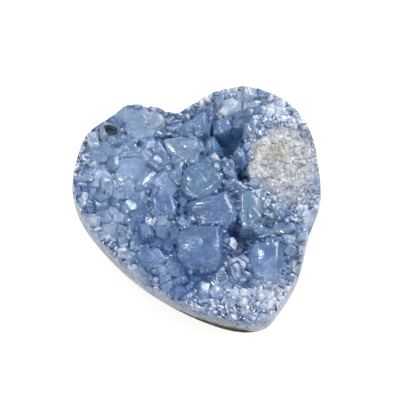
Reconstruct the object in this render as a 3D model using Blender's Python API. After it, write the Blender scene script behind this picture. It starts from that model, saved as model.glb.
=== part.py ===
"""A celestite geode fragment, cut to a heart and polished round its side and back.

The host rock is the rounded back with the small flat spot that the heart rests on. The blue celestite
is a bed on that rock with crystals grown together over it, cut flush by the polished side, and a patch
of fine white druse sits in its right lobe. Metres, +Z up, with the tip of the heart towards -Y.
"""

import math
import random

import bmesh
import bpy
from mathutils import Matrix, Vector

# Driving dimensions: the polished outside, and the host rock and the celestite bed inside it
GIRDLE_Z = 0.027
FACE_Z = 0.0305
SHOULDER_TOP = 0.0325
SHOULDER_INSET = 0.014
SINK = 0.0012
BACK_POWER = 1.9
BACK_SOFTNESS = 0.75
CREST_Z = 0.040
OVERREACH = 1.04
BED_BELOW_FACE = 0.0016
RIM_STARTS = 0.9
RIM_RISE = 0.0016
GAP = 0.0003
ROOTS_Z = 0.0230
ROCK_Z = 0.0175
BOWL_RISE = 0.0032
TIP_RISE = 0.0018
TIP_REACH = 0.014
OUTLINE_SEGMENTS = 60

# Heights of the rings of the polished skin. The rock and the celestite share them, so their sides meet
BACK_LEVELS = (0.0, 0.0008, 0.0022, 0.0045, 0.0078)
SIDE_LEVELS = (0.012, 0.0155, 0.019, 0.0225, 0.0255)
TOP_LEVELS = (GIRDLE_Z, 0.029, FACE_Z, 0.0315, SHOULDER_TOP, 0.034, 0.0355, 0.037, CREST_Z)

# Rings of the face, as shares of the way from the middle to the outline
FACE_SHARES = (0.96, 0.9, 0.82, 0.62, 0.42, 0.22)

# The widest outline of the heart, from the notch clockwise over the right lobe to the tip and back
HEART = (
    (0.0031, 0.0305),
    (0.0087, 0.0318),
    (0.0185, 0.0337),
    (0.0293, 0.0311),
    (0.0386, 0.0224),
    (0.0420, 0.0101),
    (0.0399, -0.0028),
    (0.0360, -0.0139),
    (0.0287, -0.0227),
    (0.0199, -0.0353),
    (0.0110, -0.0427),
    (0.0044, -0.0459),
    (-0.0040, -0.0433),
    (-0.0142, -0.0350),
    (-0.0251, -0.0221),
    (-0.0329, -0.0085),
    (-0.0376, 0.0051),
    (-0.0378, 0.0156),
    (-0.0346, 0.0241),
    (-0.0277, 0.0333),
    (-0.0181, 0.0366),
    (-0.0115, 0.0389),
    (-0.0042, 0.0356),
    (-0.0002, 0.0322),
)
MIDDLE = Vector((0.0021, -0.0023))
TIP = Vector((-0.004, -0.044))

# Hollows in the face where the bed lies deep: x, y, radius, depth
HOLLOWS = (
    (0.0145, 0.0170, 0.0062, 0.0075),
    (0.0160, 0.0035, 0.0044, 0.0034),
    (0.0062, -0.0165, 0.0042, 0.0050),
    (-0.0060, -0.0005, 0.0040, 0.0035),
    (-0.0100, -0.0240, 0.0040, 0.0030),
    (-0.0185, -0.0125, 0.0035, 0.0025),
)

# The large crystals: x, y, top height, length, width, lean towards (degrees), lean (degrees), spin
# (degrees), all of the big top face, which is the cleavage face of celestite
LARGE_CRYSTALS = (
    # Left lobe, a broad greyish block and its neighbours
    (-0.0095, 0.0305, 0.0335, 0.0125, 0.0105, 250, 10, 12),
    (-0.0015, 0.0285, 0.0325, 0.0075, 0.0080, 300, 22, 40),
    (-0.0165, 0.0275, 0.0315, 0.0080, 0.0075, 220, 16, 70),
    (-0.0255, 0.0270, 0.0320, 0.0085, 0.0085, 200, 20, 25),
    (-0.0305, 0.0185, 0.0325, 0.0080, 0.0095, 230, 14, 80),
    # The left field of broad smooth faces
    (-0.0205, 0.0215, 0.0330, 0.0105, 0.0085, 250, 12, 15),
    (-0.0130, 0.0200, 0.0320, 0.0080, 0.0060, 290, 18, 30),
    (-0.0185, 0.0125, 0.0335, 0.0085, 0.0085, 260, 8, 50),
    (-0.0280, 0.0095, 0.0320, 0.0085, 0.0080, 215, 22, 10),
    (-0.0325, 0.0035, 0.0305, 0.0070, 0.0075, 200, 26, 60),
    (-0.0235, 0.0035, 0.0325, 0.0080, 0.0070, 240, 18, 35),
    # The middle, where the largest crystals stand
    (-0.0060, 0.0185, 0.0345, 0.0080, 0.0115, 210, 16, 28),
    (-0.0005, 0.0165, 0.0355, 0.0110, 0.0095, 280, 10, 18),
    (0.0020, 0.0045, 0.0370, 0.0135, 0.0125, 268, 12, 42),
    (-0.0095, 0.0085, 0.0340, 0.0085, 0.0075, 240, 20, 64),
    (0.0005, -0.0070, 0.0365, 0.0125, 0.0090, 255, 16, 8),
    (0.0085, -0.0055, 0.0355, 0.0080, 0.0120, 330, 24, 14),
    (0.0145, -0.0100, 0.0355, 0.0090, 0.0130, 300, 12, 12),
    (-0.0115, 0.0010, 0.0335, 0.0065, 0.0085, 230, 14, 5),
    (-0.0150, -0.0050, 0.0325, 0.0075, 0.0055, 270, 24, 20),
    (-0.0065, -0.0160, 0.0370, 0.0145, 0.0140, 262, 10, 22),
    # Right lobe and right side
    (0.0100, 0.0265, 0.0320, 0.0085, 0.0085, 270, 14, 38),
    (0.0185, 0.0285, 0.0330, 0.0080, 0.0075, 250, 20, 20),
    (0.0265, 0.0245, 0.0325, 0.0065, 0.0100, 285, 16, 8),
    (0.0245, 0.0165, 0.0330, 0.0065, 0.0080, 270, 12, 4),
    (0.0325, 0.0230, 0.0315, 0.0080, 0.0055, 300, 18, 25),
    (0.0225, -0.0120, 0.0340, 0.0080, 0.0075, 250, 18, 34),
    (0.0200, -0.0190, 0.0335, 0.0120, 0.0070, 280, 20, 16),
    (0.0295, -0.0155, 0.0315, 0.0080, 0.0080, 320, 18, 50),
    (0.0125, -0.0270, 0.0350, 0.0125, 0.0135, 275, 12, 55),
    (0.0205, -0.0295, 0.0310, 0.0065, 0.0085, 310, 20, 30),
    # Round the dark hollow above the middle
    (0.0105, 0.0175, 0.0300, 0.0070, 0.0080, 120, 24, 60),
    (0.0180, 0.0225, 0.0315, 0.0060, 0.0060, 200, 28, 10),
    (0.0195, 0.0085, 0.0325, 0.0070, 0.0080, 180, 22, 24),
    # Towards the tip
    (0.0038, -0.0243, 0.0315, 0.0095, 0.0040, 250, 30, 150),
    (-0.0010, -0.0310, 0.0320, 0.0095, 0.0075, 260, 14, 30),
    (-0.0150, -0.0245, 0.0315, 0.0085, 0.0080, 235, 18, 45),
    (-0.0210, -0.0140, 0.0310, 0.0085, 0.0090, 225, 20, 20),
    (-0.0265, -0.0050, 0.0310, 0.0085, 0.0085, 215, 22, 75),
    (0.0090, -0.0365, 0.0315, 0.0075, 0.0070, 280, 12, 15),
    (0.0020, -0.0395, 0.0305, 0.0070, 0.0065, 250, 16, 60),
    (-0.0080, -0.0330, 0.0305, 0.0080, 0.0070, 240, 20, 10),
)

# Angles between the crystal faces of celestite, between the block's faces and those that cut its edges
PRISM = math.radians(38)
FRONT_DOME = math.radians(50.6)
SIDE_DOME = math.radians(38)

# How far the edge faces cut in, as shares of the way to the block's edge
EDGE_CUT = (0.76, 0.93)

# How far the large crystals have grown past the faces listed above, into each other
LARGE_GROWTH = 1.2

# The small crystals that fill the face between the large ones
FACE_SPAN = 0.1
SMALL_SPACING = 0.0054
SMALL_SIZE = (0.0050, 0.0072)
SMALL_LEAN = (5, 32)
SMALL_STANDS_PROUD = 0.62
SMALL_SEED = 9

# The white druse, a lumpy lens whose outer side the polished wall cuts: middle, half widths, height
DRUSE_MIDDLE = Vector((0.0298, 0.0010))
DRUSE_HALF = (0.0118, 0.0150)
DRUSE_TURN = math.radians(-8)
DRUSE_FLOOR = 0.0235
DRUSE_WIDENS = 0.0257
DRUSE_WIDEST = 0.0293
DRUSE_TOP = 0.0348
DRUSE_SEGMENTS = 36

# The shell-shaped chip in the right edge: middle and radius
CHIP = Vector((0.0333, -0.0231, 0.0325))
CHIP_RADIUS = 0.0062

# The small dark notch in the rim of the left lobe, where the host rock shows
HOLE = Vector((-0.0199, 0.0322))
HOLE_RADIUS = 0.0017
HOLE_STRETCH = 1.7
HOLE_TURN = math.radians(122)
HOLE_FLARE = 0.02
HOLE_FLOOR = 0.0284
HOLE_SEGMENTS = 12
SHAFT_BOTTOM = 0.014
FINGER_BOTTOM = 0.015


def remove_scene_objects():
    for old in list(bpy.data.objects):
        bpy.data.objects.remove(old, do_unlink=True)


def principled(name, colour, roughness, transmission=0.0):
    material = bpy.data.materials.new(name)
    material.use_nodes = True
    shader = material.node_tree.nodes["Principled BSDF"]
    shader.inputs["Base Color"].default_value = (*colour, 1)
    shader.inputs["Roughness"].default_value = roughness
    shader.inputs["Metallic"].default_value = 0.0
    shader.inputs["IOR"].default_value = 1.62
    shader.inputs["Transmission Weight"].default_value = transmission
    material.diffuse_color = (*colour, 1)
    return material


def smooth_loop(points, count):
    """Points spread evenly by number along a closed smooth curve through the given points."""
    loop = []
    for step in range(count):
        place = step / count * len(points)
        first = int(place)
        t = place - first
        p0, p1, p2, p3 = (Vector(points[(first + k) % len(points)]) for k in (-1, 0, 1, 2))
        bend = (p2 - p0) * t + (2 * p0 - 5 * p1 + 4 * p2 - p3) * t**2 + (3 * p1 - p0 - 3 * p2 + p3) * t**3
        loop.append(p1 + bend / 2)
    return loop


OUTLINE = smooth_loop(HEART, OUTLINE_SEGMENTS)
MEAN_RADIUS = sum((p - MIDDLE).length for p in OUTLINE) / len(OUTLINE)
CENTRE = Vector(
    (
        (max(p.x for p in OUTLINE) + min(p.x for p in OUTLINE)) / 2,
        (max(p.y for p in OUTLINE) + min(p.y for p in OUTLINE)) / 2,
        0,
    )
)


def spread(z):
    """How far the polished skin reaches at a height, as a share of the widest outline."""
    if z < GIRDLE_Z:
        drop = (GIRDLE_Z - z) / (GIRDLE_Z + SINK)
        return (1 - drop**BACK_POWER) ** (1 / BACK_POWER)
    rise = (z - GIRDLE_Z) / (SHOULDER_TOP - GIRDLE_Z)
    return 1 - SHOULDER_INSET * rise**2


def skin_point(number, z):
    """A point of the polished skin. Low on the back the heart softens to a rounder outline."""
    arm = OUTLINE[number % OUTLINE_SEGMENTS] - MIDDLE
    softness = BACK_SOFTNESS * max(0.0, (GIRDLE_Z - z) / GIRDLE_Z) ** 2
    length = arm.length * (1 - softness) + MEAN_RADIUS * softness
    place = MIDDLE + arm.normalized() * length * spread(z)
    return Vector((place.x, place.y, z))


def rock_height(x, y):
    """The host rock's upper side, a shallow uneven bowl that climbs towards the tip."""
    swell = 0.0008 * math.sin(95 * x + 0.6) * math.cos(80 * y - 0.4) + 0.0005 * math.sin(210 * x + 170 * y)
    out = math.hypot(x - MIDDLE.x, y - MIDDLE.y) / MEAN_RADIUS
    near_tip = math.exp(-((x - TIP.x) ** 2 + (y - TIP.y) ** 2) / TIP_REACH**2)
    return ROCK_Z + BOWL_RISE * out**2 + TIP_RISE * near_tip + swell


def inside_share(place):
    """How far out a place lies, 0 at the middle and 1 on the widest outline."""
    arm = place - MIDDLE
    if arm.length == 0:
        return 0.0
    nearest = max(OUTLINE, key=lambda p: (p - MIDDLE).normalized().dot(arm.normalized()))
    return arm.length / (nearest - MIDDLE).length


def bed_height(x, y):
    """The top of the celestite bed between the crystals, with its deep hollows and its solid rim."""
    height = FACE_Z - BED_BELOW_FACE + 0.0006 * math.sin(260 * x) * math.sin(240 * y + 1)
    for hollow_x, hollow_y, radius, depth in HOLLOWS:
        away = math.hypot(x - hollow_x, y - hollow_y) / radius
        height -= depth * math.exp(-(away**2))
    rim = max(0.0, (inside_share(Vector((x, y))) - RIM_STARTS) / (1 - RIM_STARTS))
    return height + RIM_RISE * min(rim, 1.0) ** 0.7


def lofted(name, rings, bottom, top):
    """A closed solid through rings of points, with a fan at its bottom and its top point."""
    bm = bmesh.new()
    rows = [[bm.verts.new(p) for p in ring] for ring in rings]
    low = bm.verts.new(bottom)
    high = bm.verts.new(top)
    count = len(rows[0])
    for number in range(count):
        after = (number + 1) % count
        bm.faces.new((low, rows[0][after], rows[0][number]))
        bm.faces.new((high, rows[-1][number], rows[-1][after]))
        for below, above in zip(rows, rows[1:]):
            bm.faces.new((below[number], below[after], above[after]))
            bm.faces.new((below[number], above[after], above[number]))
    bmesh.ops.recalc_face_normals(bm, faces=bm.faces)
    mesh = bpy.data.meshes.new(name)
    bm.to_mesh(mesh)
    bm.free()
    return bpy.data.objects.new(name, mesh)


def level_ring(z):
    return [skin_point(number, z) for number in range(OUTLINE_SEGMENTS)]


def surface_rings(edge_ring, height, shares):
    """Rings over a height field, inwards from an edge ring by shares of its distance to the middle."""
    rings = []
    for share in shares:
        ring = []
        for p in edge_ring:
            place = MIDDLE + (Vector((p.x, p.y)) - MIDDLE) * share
            ring.append(Vector((place.x, place.y, height(place.x, place.y))))
        rings.append(ring)
    return rings


def rock_solid():
    """The polished back and the sides, up to above the rock. The celestite's space is cut from it."""
    levels = BACK_LEVELS + SIDE_LEVELS
    low = Vector((MIDDLE.x, MIDDLE.y, 0))
    high = Vector((MIDDLE.x, MIDDLE.y, levels[-1]))
    return lofted("matrix_base", [level_ring(z) for z in levels], low, high)


def above_rock_solid(name, lift, height, top, face_shares):
    """A solid from just over the rock up to a height field. It reaches a little past the skin."""

    def underside(x, y):
        return rock_height(x, y) + lift

    widest = level_ring(GIRDLE_Z)
    under = surface_rings(widest, underside, (0.4, 0.75, OVERREACH))
    face = surface_rings(widest, height, (OVERREACH, *face_shares))
    bottom = Vector((*MIDDLE, underside(*MIDDLE)))
    return lofted(name, under + face, bottom, Vector((*MIDDLE, top)))


def bed_solid():
    middle_height = bed_height(*MIDDLE)
    return above_rock_solid("celestite_crystals", GAP, bed_height, middle_height, FACE_SHARES)


def growth_space(name):
    return above_rock_solid(name, 0.0, lambda x, y: CREST_Z, CREST_Z, (0.5,))


def skin_solid(name):
    """The space inside the polished skin, from under the celestite to above the tallest crystal."""
    levels = SIDE_LEVELS + TOP_LEVELS
    low = Vector((MIDDLE.x, MIDDLE.y, levels[0]))
    high = Vector((MIDDLE.x, MIDDLE.y, levels[-1]))
    return lofted(name, [level_ring(z) for z in levels], low, high)


def crystal_faces(half, rng):
    """The faces of a celestite crystal: three pairs of flat faces, and the prism and dome faces that
    cut its edges, each a little further in or out than its twin, as in a real crystal."""
    faces = []
    for axis in range(3):
        for side in (1, -1):
            normal = Vector((0, 0, 0))
            normal[axis] = side
            faces.append((normal, half[axis]))
    slanted = []
    for sx in (1, -1):
        for sy in (1, -1):
            slanted.append(Vector((sx * math.cos(PRISM), sy * math.sin(PRISM), 0)))
            slanted.append(Vector((sx * math.cos(FRONT_DOME), 0, sy * math.sin(FRONT_DOME))))
            slanted.append(Vector((0, sx * math.cos(SIDE_DOME), sy * math.sin(SIDE_DOME))))
    for normal in slanted:
        corner = sum(abs(normal[k]) * half[k] for k in range(3))
        faces.append((normal, corner * rng.uniform(*EDGE_CUT)))
    return faces


def crystal(name, top_middle, size, lean_to, lean, spin, rng):
    """One blocky crystal, from its big top face down into the bed."""
    length, width, depth = size
    half = (length / 2, width / 2, depth / 2)
    bm = bmesh.new()
    bmesh.ops.create_cube(bm, size=4 * max(half))
    for normal, distance in crystal_faces(half, rng):
        everything = bm.verts[:] + bm.edges[:] + bm.faces[:]
        cut = bmesh.ops.bisect_plane(
            bm, geom=everything, plane_co=normal * distance, plane_no=normal, clear_outer=True
        )
        edges = [piece for piece in cut["geom_cut"] if isinstance(piece, bmesh.types.BMEdge)]
        if len(edges) > 2:
            bmesh.ops.contextual_create(bm, geom=edges)
    bmesh.ops.recalc_face_normals(bm, faces=bm.faces)
    mesh = bpy.data.meshes.new(name)
    bm.to_mesh(mesh)
    bm.free()
    block = bpy.data.objects.new(name, mesh)
    turn = Matrix.Rotation(math.radians(lean_to), 3, "Z")
    tip = Matrix.Rotation(math.radians(lean), 3, "Y")
    own = Matrix.Rotation(math.radians(spin - lean_to), 3, "Z")
    block.rotation_euler = (turn @ tip @ own).to_euler()
    block.location = Vector(top_middle) - (turn @ tip @ Vector((0, 0, 1))) * half[2]
    return block


def grown_crystals(collection):
    """The large crystals as placed, and small ones wherever the face would be bare."""
    rng = random.Random(SMALL_SEED)
    taken = []
    for number, (x, y, top, length, width, lean_to, lean, spin) in enumerate(LARGE_CRYSTALS):
        length, width = length * LARGE_GROWTH, width * LARGE_GROWTH
        size = (length, width, top - ROOTS_Z)
        collection.objects.link(crystal(f"large_{number}", (x, y, top), size, lean_to, lean, spin, rng))
        taken.append((Vector((x, y)), (length + width) / 4))
    count = int(FACE_SPAN / SMALL_SPACING)
    for row in range(-count // 2, count // 2 + 1):
        for column in range(-count // 2, count // 2 + 1):
            shift = Vector((rng.uniform(-0.3, 0.3), rng.uniform(-0.3, 0.3)))
            place = MIDDLE + (Vector((column + 0.5 * (row % 2), row * 0.87)) + shift) * SMALL_SPACING
            length, width = rng.uniform(*SMALL_SIZE), rng.uniform(*SMALL_SIZE)
            lean_to, lean, spin = rng.uniform(0, 360), rng.uniform(*SMALL_LEAN), rng.uniform(0, 180)
            if inside_share(place) > 0.99 or in_druse(place):
                continue
            if any((place - other).length < reach + length * 0.3 for other, reach in taken):
                continue
            top = bed_height(*place) + length * SMALL_STANDS_PROUD
            size = (length, width, min(length * 1.5, top - ROOTS_Z))
            small = crystal(f"small_{row}_{column}", (*place, top), size, lean_to, lean, spin, rng)
            collection.objects.link(small)


def druse_ring(share, z, grow=0.0):
    """A closed ring round the white druse at a share of its half widths."""
    ring = []
    for number in range(DRUSE_SEGMENTS):
        angle = math.tau * number / DRUSE_SEGMENTS
        lump = 1 + 0.07 * math.sin(3 * angle + 1) + 0.035 * math.sin(7 * angle + 600 * z)
        across = (DRUSE_HALF[0] * share * lump + grow) * math.cos(angle)
        along = (DRUSE_HALF[1] * share * lump + grow) * math.sin(angle)
        side = Vector((across, along))
        side.rotate(Matrix.Rotation(DRUSE_TURN, 2))
        ring.append(Vector((*(DRUSE_MIDDLE + side), z + 0.0004 * math.sin(5 * angle + 900 * z))))
    return ring


def druse_solid():
    """The lumpy white lens, with low swells over its top."""
    rings = [druse_ring(0.55, DRUSE_FLOOR), druse_ring(0.86, DRUSE_WIDENS), druse_ring(1.0, DRUSE_WIDEST)]
    for share in (0.93, 0.8, 0.64, 0.46, 0.26, 0.1):
        ring = druse_ring(share, DRUSE_TOP)
        for point in ring:
            swell = 0.7 * math.sin(800 * point.x + 2) * math.sin(700 * point.y) - 2.0 * share**3
            point.z = DRUSE_TOP + 0.001 * swell
        rings.append(ring)
    low = Vector((*DRUSE_MIDDLE, DRUSE_FLOOR - GAP))
    return lofted("white_druse", rings, low, Vector((*DRUSE_MIDDLE, DRUSE_TOP)))


def druse_pocket():
    """The pocket in the celestite that the white lens sits in, open upwards."""
    rings = [
        druse_ring(0.55, DRUSE_FLOOR - GAP, GAP),
        druse_ring(0.86, DRUSE_WIDENS - GAP, GAP),
        druse_ring(1.0, DRUSE_WIDEST, GAP),
        druse_ring(1.0, CREST_Z, GAP),
    ]
    low = Vector((*DRUSE_MIDDLE, DRUSE_FLOOR - 3 * GAP))
    return lofted("druse_pocket", rings, low, Vector((*DRUSE_MIDDLE, CREST_Z)))


def in_druse(place):
    arm = place - DRUSE_MIDDLE
    arm.rotate(Matrix.Rotation(-DRUSE_TURN, 2))
    return math.hypot(arm.x / DRUSE_HALF[0], arm.y / DRUSE_HALF[1]) < 1


def hole_solid(name, grow, floor, top):
    """A rough upright column at the dark hole, long towards the rim and a little wider at the top."""
    rings = []
    for z in (floor, top):
        ring = []
        for number in range(HOLE_SEGMENTS):
            angle = math.tau * number / HOLE_SEGMENTS
            radius = HOLE_RADIUS * (1 + 0.12 * math.sin(2 * angle + 0.5)) + HOLE_FLARE * (z - FACE_Z) + grow
            side = Vector((radius * HOLE_STRETCH * math.cos(angle), radius * math.sin(angle)))
            side.rotate(Matrix.Rotation(HOLE_TURN, 2))
            ring.append(Vector((*(HOLE + side), z)))
        rings.append(ring)
    return lofted(name, rings, Vector((*HOLE, floor)), Vector((*HOLE, top)))


def chip_solid(name):
    bm = bmesh.new()
    bmesh.ops.create_icosphere(bm, subdivisions=2, radius=CHIP_RADIUS)
    mesh = bpy.data.meshes.new(name)
    bm.to_mesh(mesh)
    bm.free()
    chip = bpy.data.objects.new(name, mesh)
    chip.location = CHIP
    return chip


def boolean(target, operation, tool, solver="EXACT"):
    """Adds a Boolean with one object, or with every object of a collection."""
    step = target.modifiers.new(f"{operation.lower()} {tool.name}", "BOOLEAN")
    step.operation = operation
    step.solver = solver
    if isinstance(tool, bpy.types.Collection):
        step.operand_type = "COLLECTION"
        step.collection = tool
    else:
        step.object = tool
    return step


def islands(bm):
    """The separate closed surfaces of a mesh, each as a set of its points."""
    left = set(bm.verts)
    while left:
        found = set()
        edge = [left.pop()]
        while edge:
            vert = edge.pop()
            found.add(vert)
            for link in vert.link_edges:
                other = link.other_vert(vert)
                if other in left:
                    left.discard(other)
                    edge.append(other)
        yield found


def settle(part, smooth_below):
    """Works out the modifiers, drops closed voids between crystals and loose chips, and shades it."""
    graph = bpy.context.evaluated_depsgraph_get()
    mesh = bpy.data.meshes.new_from_object(part.evaluated_get(graph))
    part.modifiers.clear()
    part.data = mesh
    bm = bmesh.new()
    bm.from_mesh(mesh)
    found = sorted(islands(bm), key=len)
    for small in found[:-1]:
        bmesh.ops.delete(bm, geom=list(small), context="VERTS")
    bm.to_mesh(mesh)
    bm.free()
    mesh.shade_smooth()
    mesh.set_sharp_from_angle(angle=math.radians(smooth_below))


def as_guide(guide):
    guide.hide_render = True
    guide.display_type = "WIRE"


def build():
    remove_scene_objects()
    scene = bpy.context.scene.collection
    heart = bpy.data.objects.new("heart", None)
    heart.location = -CENTRE
    scene.objects.link(heart)

    guides = bpy.data.collections.new("guides")
    crystals = bpy.data.collections.new("crystals")
    scene.children.link(guides)
    scene.children.link(crystals)
    grown_crystals(crystals)

    skin = skin_solid("polished_skin")
    pocket = druse_pocket()
    shaft = hole_solid("hole_shaft", GAP, SHAFT_BOTTOM, CREST_Z)
    finger = hole_solid("rock_finger", 0.0, FINGER_BOTTOM, HOLE_FLOOR)
    growth = growth_space("growth_space")
    chip = chip_solid("edge_chip")
    for guide in (skin, growth, pocket, shaft, finger, chip):
        guides.objects.link(guide)

    rock = rock_solid()
    celestite = bed_solid()
    druse = druse_solid()
    for part in (rock, celestite, druse):
        scene.objects.link(part)
        part.parent = heart
    for guide in list(guides.objects) + list(crystals.objects):
        as_guide(guide)
        guide.parent = heart
    boolean(celestite, "UNION", crystals)
    # EXACT leaves these many-sided solids open at some edges, so the cuts below use MANIFOLD
    boolean(celestite, "INTERSECT", skin, "MANIFOLD")
    boolean(celestite, "DIFFERENCE", pocket, "MANIFOLD")
    boolean(celestite, "DIFFERENCE", shaft, "MANIFOLD")
    boolean(celestite, "DIFFERENCE", chip, "MANIFOLD")
    boolean(finger, "INTERSECT", skin, "MANIFOLD")
    boolean(rock, "DIFFERENCE", growth, "MANIFOLD")
    boolean(rock, "UNION", finger, "MANIFOLD")
    boolean(druse, "INTERSECT", skin, "MANIFOLD")
    settle(celestite, 10)
    settle(rock, 35)
    settle(druse, 35)

    rock.data.materials.append(principled("host rock", (0.42, 0.39, 0.32), 0.35))
    celestite.data.materials.append(principled("blue celestite", (0.30, 0.43, 0.66), 0.12, 0.6))
    druse.data.materials.append(principled("white druse", (0.74, 0.74, 0.72), 0.45))


build()
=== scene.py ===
"""The looks of the celestite heart: intergrown translucent blue crystals on a polished rock back.

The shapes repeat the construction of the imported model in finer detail. Lengths are in metres.
"""

import random
from math import atan2, cos, degrees, exp, hypot, radians, sin, tau

import bmesh
import bpy
from mathutils import Matrix, Vector, noise


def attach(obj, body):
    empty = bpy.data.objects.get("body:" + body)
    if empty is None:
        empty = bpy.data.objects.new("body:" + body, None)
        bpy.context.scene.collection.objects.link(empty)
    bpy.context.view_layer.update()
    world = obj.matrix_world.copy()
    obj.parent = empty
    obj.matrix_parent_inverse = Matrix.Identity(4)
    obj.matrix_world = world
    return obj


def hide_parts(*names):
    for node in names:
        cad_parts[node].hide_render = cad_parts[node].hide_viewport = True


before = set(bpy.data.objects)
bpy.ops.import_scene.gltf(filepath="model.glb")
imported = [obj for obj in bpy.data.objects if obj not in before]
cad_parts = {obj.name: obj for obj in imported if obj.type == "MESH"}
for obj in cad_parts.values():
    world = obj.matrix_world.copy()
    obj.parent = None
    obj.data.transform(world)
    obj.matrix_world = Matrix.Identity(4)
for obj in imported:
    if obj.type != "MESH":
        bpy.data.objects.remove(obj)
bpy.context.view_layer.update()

# The polished body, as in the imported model
GIRDLE_Z = 0.027
FACE_Z = 0.0305
SHOULDER_TOP = 0.0325
SHOULDER_INSET = 0.014
SINK = 0.0012
BACK_POWER = 1.9
CREST_Z = 0.040
OVERREACH = 1.04
BED_BELOW_FACE = 0.0016
RIM_STARTS = 0.9
RIM_RISE = 0.0016
ROOTS_Z = 0.0225
ROCK_Z = 0.0175
BOWL_RISE = 0.0032
TIP_RISE = 0.0018
OUTLINE_SEGMENTS = 168
COARSE_SEGMENTS = 60
SOFTENED = 0.75
SKIN_FROM = 0.011
SKIN_LEVELS = 32
ROCK_SKIN_TOP = 0.026
LAYER_RINGS = 34

# The outline of the heart, clockwise seen from above, from the notch
HEART = (
    (0.0031, 0.0305),
    (0.0087, 0.0318),
    (0.0185, 0.0337),
    (0.0293, 0.0311),
    (0.0386, 0.0224),
    (0.0420, 0.0101),
    (0.0399, -0.0028),
    (0.0360, -0.0139),
    (0.0287, -0.0227),
    (0.0199, -0.0353),
    (0.0110, -0.0427),
    (0.0044, -0.0459),
    (-0.0040, -0.0433),
    (-0.0142, -0.0350),
    (-0.0251, -0.0221),
    (-0.0329, -0.0085),
    (-0.0376, 0.0051),
    (-0.0378, 0.0156),
    (-0.0346, 0.0241),
    (-0.0277, 0.0333),
    (-0.0181, 0.0366),
    (-0.0115, 0.0389),
    (-0.0042, 0.0356),
    (-0.0002, 0.0322),
)
MIDDLE = Vector((0.0021, -0.0023))

# The hollows between the crystals: x, y, radius, depth
HOLLOWS = (
    (0.0145, 0.0170, 0.0062, 0.0075),
    (0.0162, 0.0038, 0.0046, 0.0038),
    (0.0066, -0.0165, 0.0046, 0.0056),
    (-0.0060, -0.0005, 0.0040, 0.0026),
    (-0.0100, -0.0240, 0.0040, 0.0030),
    (-0.0185, -0.0125, 0.0035, 0.0025),
)
DEEPEST_HOLLOW = 0.0075

# The kinds of celestite on the face, by the slot that each takes in the crystals' mesh. The deep kind is
# painted shade: the darker blue of crystals down in the hollows
CLEAR, LILAC, GREEN, FROST, SHADED_DEEP, WALL, DARK_BAND, GLINT = range(8)

# The slots of the rock's mesh and of the druse's
BACK, ROOTS, UPPER_ROCK = range(3)
DRUSE, DRUSE_WALL = range(2)

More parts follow.
